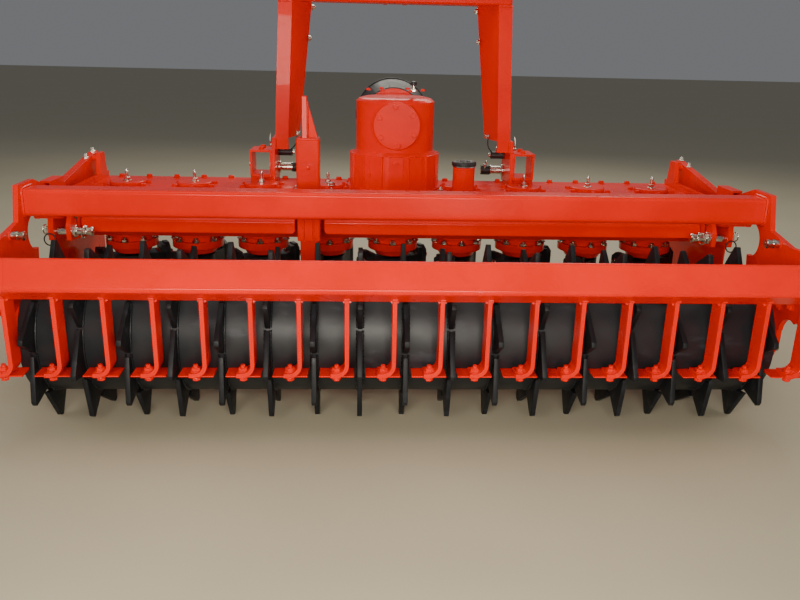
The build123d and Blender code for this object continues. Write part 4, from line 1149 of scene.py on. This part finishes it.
class HARROW_OT_stand(bpy.types.Operator):
    """Weld the stand's tube, blade and gusset, and pin its sliding leg."""
    bl_idname = "harrow.stand"
    bl_label = "Stand fittings"

    def execute(self, context):
        welds, zinc, red = Batch(), Batch(), Batch()
        rear = STAND_Y - TUBE_HALF
        top = TUBE_TOP_Z + 1
        for x in (BLADE_X - 9, BLADE_X + 9):
            welds.bead([(x, STAND_Y - 25, top), (x, STAND_Y + 25, top)], 5.5)
        welds.bead([(BLADE_X - 8, STAND_Y - 27, top), (BLADE_X + 8, STAND_Y - 27, top)], 5.5)
        welds.bead([(BLADE_X + 10, STAND_Y - 3, top), (STAND_X + 32, STAND_Y - 3, top)], 5)
        welds.bead([(BLADE_X + 9, STAND_Y - 1, top + 2), (BLADE_X + 9, STAND_Y - 1, 872)], 4.2)
        for height in (4, 9):
            reach = TUBE_HALF - height
            welds.bead(flat_loop(STAND_X, STAND_Y, top + height / 3, reach), 3.6, closed=True)
        for offset in (-16, 16):
            x = STAND_X + offset
            welds.bead([(x, rear - 0.5, z) for z in (TUBE_BOTTOM_Z + 4, BLADE_FOOT_Z)], 3.4)
        for x in (BLADE_X - 9, BLADE_X + 9):
            for y, low in ((STAND_Y + TUBE_HALF + 1, 434), (ROTOR_Y - 161, 412)):
                welds.bead([(x, y, low), (x, y, BLADE_FOOT_Z)], 4)
        welds.done("stand_welds", "harrow", "red_weld")
        clamp = Vector((STAND_X + TUBE_HALF, STAND_Y, 560))
        red.turned(clamp, (1, 0, 0), [(-1, 13), (12, 13), (14, 11)], 6)
        zinc.turned(clamp, (1, 0, 0), [(12, 6), (44, 6), (45, 5)], 20)
        zinc.turned(clamp + Vector((37, 0, -32)), (0, 0, 1), [(0, 3), (1, 4), (63, 4), (64, 3)], 16)
        red.turned((STAND_X + 2, rear + 1, 664), (0, -1, 0), [(0, 8), (2, 8), (4, 6), (5, 2.5)], 20)
        zinc.done("stand_pin", "harrow", "zinc")
        red.done("stand_plug", "harrow", "red")
        foot = Batch()
        foot.bead(flat_loop(STAND_X, STAND_Y, 11, 30.5), 4, closed=True)
        foot.done("stand_foot_weld", "stand", "red_weld")
        return {"FINISHED"}


def flat_loop(x, y, z, half, corner=8.0):
    """Level square with rounded corners."""
    points = []
    for quarter in range(4):
        middle = radians(45 + 90 * quarter)
        reach = half - corner
        aside = 1 if cos(middle) > 0 else -1
        along = 1 if sin(middle) > 0 else -1
        centre = Vector((x + reach * aside, y + reach * along, z))
        for step in range(4):
            turn = middle + radians(-45 + 30 * step)
            points.append(centre + Vector((cos(turn), sin(turn), 0)) * corner)
    return points


# Side deflectors and the drive guard
DEFLECTOR_Y = joints["deflector_lift_right"]["pos_m"][1] / MM
DEFLECTOR_Z = joints["deflector_lift_right"]["pos_m"][2] / MM
DEFLECTOR_OUT = side("side_deflector_right", 1, 0)
BAR_SLOPE = 0.162


class HARROW_OT_sides(bpy.types.Operator):
    """Pin the side deflectors and weld their bars to their plates."""
    bl_idname = "harrow.sides"
    bl_label = "Deflector fittings"

    def execute(self, context):
        zinc = Batch()
        for hand in (-1, 1):
            seat = Vector((hand * (DEFLECTOR_OUT + 0.6), DEFLECTOR_Y, DEFLECTOR_Z))
            out = Vector((hand, 0, 0))
            zinc.turned(seat, out, [(0, 17), (2.4, 17), (3, 16)], 28)
            zinc.bar([seat + out * 5.5 + Vector((0, 0, rise)) for rise in (-17, 17)], 1.8, 8)
        zinc.done("deflector_washers", "harrow", "zinc")
        for name, hand in (("left", -1), ("right", 1)):
            bolts, welds = Batch(), Batch()
            front = side("side_deflector_right", 1, 1)
            top = side("side_deflector_right", 1, 2)
            for back, size in ((16, 12), (96, 10)):
                place = (hand * (DEFLECTOR_OUT - 13), front - back, top - back * BAR_SLOPE - 4.4)
                bolts.bolt(place, (0, -0.16, 1), size, stud=12)
            slope = Vector((0, -1, -BAR_SLOPE)).normalized()
            begin = Vector((hand * (DEFLECTOR_OUT - 17), front - 6, top - 27.5))
            for start, end in ((0, 120), (200, 320), (400, 505)):
                welds.bead([begin + slope * start, begin + slope * end], 3.6)
            bolts.done(f"deflector_bolts_{name}", f"deflector_{name}", "zinc")
            welds.done(f"deflector_welds_{name}", f"deflector_{name}", "red_weld")
        return {"FINISHED"}


class HARROW_OT_drive(bpy.types.Operator):
    """Give the bell guard its ribs and bolts, and the input its seal."""
    bl_idname = "harrow.drive"
    bl_label = "Drive guard fittings"

    def execute(self, context):
        guard, seal, bolts = Batch(), Batch(), Batch()
        root = Vector((0, ROTOR_Y + 168, INPUT_Z))
        for turn in range(12):
            angle = tau * turn / 12 + 0.13
            out = Vector((cos(angle), 0, sin(angle)))
            aside = Vector((-sin(angle), 0, cos(angle))) * 2
            low = root + out * 117 + Vector((0, 10, 0))
            far = root + out * 137 + Vector((0, 122, 0))
            corners = [low - aside, far - aside, far - aside + out * 3.4, low - aside + out * 5]
            guard.slab(corners, aside * 2, edge=0.8)
        for place in circle(root + Vector((0, 6, 0)), (0, 1, 0), 98, 6):
            bolts.bolt(place, (0, 1, 0), 9)
        seal.turned(root + Vector((0, 6.3, 0)), (0, 1, 0),
                    [(0, 38), (2, 39), (5, 39), (5, 31.5), (0, 31.5)], 48, closed=True)
        guard.done("guard_ribs", "harrow", "plastic", sharp=40)
        bolts.done("guard_bolts", "harrow", "zinc")
        seal.done("input_seal", "harrow", "plastic")
        return {"FINISHED"}


class HARROW_OT_studio(bpy.types.Operator):
    """Set the floor, the soft lights and the camera of the photograph."""
    bl_idname = "harrow.studio"
    bl_label = "Studio"

    def execute(self, context):
        lay_floor()
        hang_lights(context.scene)
        aim_camera(context.scene)
        return {"FINISHED"}


def lay_floor():
    """Pale concrete-like floor, wide enough for every view."""
    mesh = bpy.data.meshes.new("floor")
    half = 30.0
    corners = [(-half, -half, 0), (half, -half, 0), (half, half, 0), (-half, half, 0)]
    mesh.from_pydata(corners, [], [(0, 1, 2, 3)])
    floor = bpy.data.objects.new("floor", mesh)
    bpy.context.scene.collection.objects.link(floor)
    finish = Finish("floor_paint")
    cloud = finish.noise(0.9, 5.0)
    finish.feed("Base Color", finish.mixed(cloud, (0.40, 0.36, 0.26), (0.50, 0.455, 0.33)))
    finish.feed("Roughness", finish.between(cloud, 0.3, 0.7, 0.55, 0.7))
    mesh.materials.append(finish.material)


WARM = (1.0, 0.94, 0.82)


def hang_lights(scene):
    """A wide soft light at the camera, one overhead, a small low one for glints, a fill each side, a rim."""
    world = bpy.data.worlds.new("studio")
    world.use_nodes = True
    background = world.node_tree.nodes["Background"]
    background.inputs["Color"].default_value = (0.86, 0.88, 0.92, 1)
    background.inputs["Strength"].default_value = 0.19
    scene.world = world
    lights = (
        ("key", (-0.25, -2.5, 1.0), (1.8, 0.5), 56),
        ("above", (-0.4, -0.8, 4.0), (3.4, 2.4), 45),
        ("spark", (0.5, -2.9, 0.22), (0.14, 0.10), 7),
        ("fill_left", (-4.2, -0.6, 2.4), (2.6, 2.6), 36),
        ("fill_right", (4.2, -0.4, 2.4), (2.6, 2.6), 36),
        ("rim", (0.6, 3.6, 3.2), (3.6, 1.8), 100),
    )
    for name, place, size, power in lights:
        data = bpy.data.lights.new(name, "AREA")
        data.shape = "RECTANGLE"
        data.size, data.size_y = size
        data.energy = power
        data.color = WARM
        lamp = bpy.data.objects.new(name, data)
        lamp.location = place
        towards = Vector((0, 0, 0.4)) - Vector(place)
        lamp.rotation_euler = towards.to_track_quat("-Z", "Y").to_euler()
        scene.collection.objects.link(lamp)


def aim_camera(scene):
    """The photograph's viewpoint: behind the roller, slightly left, looking down along +Y."""
    settings = scene.harrow_camera
    ahead = Vector((
        sin(settings.yaw) * cos(settings.pitch),
        cos(settings.yaw) * cos(settings.pitch),
        -sin(settings.pitch),
    ))
    level = Vector((cos(settings.yaw), -sin(settings.yaw), 0))
    above = level.cross(ahead)
    right = level * cos(settings.roll) - above * sin(settings.roll)
    up = level * sin(settings.roll) + above * cos(settings.roll)
    data = bpy.data.cameras.new("camera")
    data.sensor_width = 36
    data.lens = settings.focal
    camera = bpy.data.objects.new("camera", data)
    turn = Matrix((right, up, -ahead)).transposed().to_4x4()
    place = Vector((-settings.aside, roller_axis.y - settings.behind, settings.height))
    camera.matrix_world = Matrix.Translation(place) @ turn
    scene.collection.objects.link(camera)
    scene.camera = camera


class HARROW_PT_panel(bpy.types.Panel):
    """Lists the steps that dress the harrow."""
    bl_idname = "HARROW_PT_panel"
    bl_label = "Power harrow"
    bl_space_type = "VIEW_3D"
    bl_region_type = "UI"
    bl_category = "Harrow"

    def draw(self, context):
        for step in STEPS:
            self.layout.operator(step.bl_idname)


STEPS = (
    HARROW_OT_finishes, HARROW_OT_edges, HARROW_OT_roller, HARROW_OT_scrapers, HARROW_OT_frame_welds,
    HARROW_OT_bearings, HARROW_OT_rotor_bolts, HARROW_OT_trough_bolts, HARROW_OT_gearbox, HARROW_OT_hitch,
    HARROW_OT_headstock_welds, HARROW_OT_hinges, HARROW_OT_stand, HARROW_OT_sides, HARROW_OT_drive,
    HARROW_OT_studio,
)
CLASSES = (PaintSettings, CameraSettings, *STEPS, HARROW_PT_panel)


def register():
    for cls in CLASSES:
        bpy.utils.register_class(cls)
    bpy.types.Scene.harrow_paint = PointerProperty(type=PaintSettings)
    bpy.types.Scene.harrow_camera = PointerProperty(type=CameraSettings)


def unregister():
    del bpy.types.Scene.harrow_camera
    del bpy.types.Scene.harrow_paint
    for cls in reversed(CLASSES):
        bpy.utils.unregister_class(cls)


def main():
    """Dress the whole machine."""
    register()
    for step in STEPS:
        group, name = step.bl_idname.split(".")
        getattr(getattr(bpy.ops, group), name)()


if __name__ == "__main__":
    main()
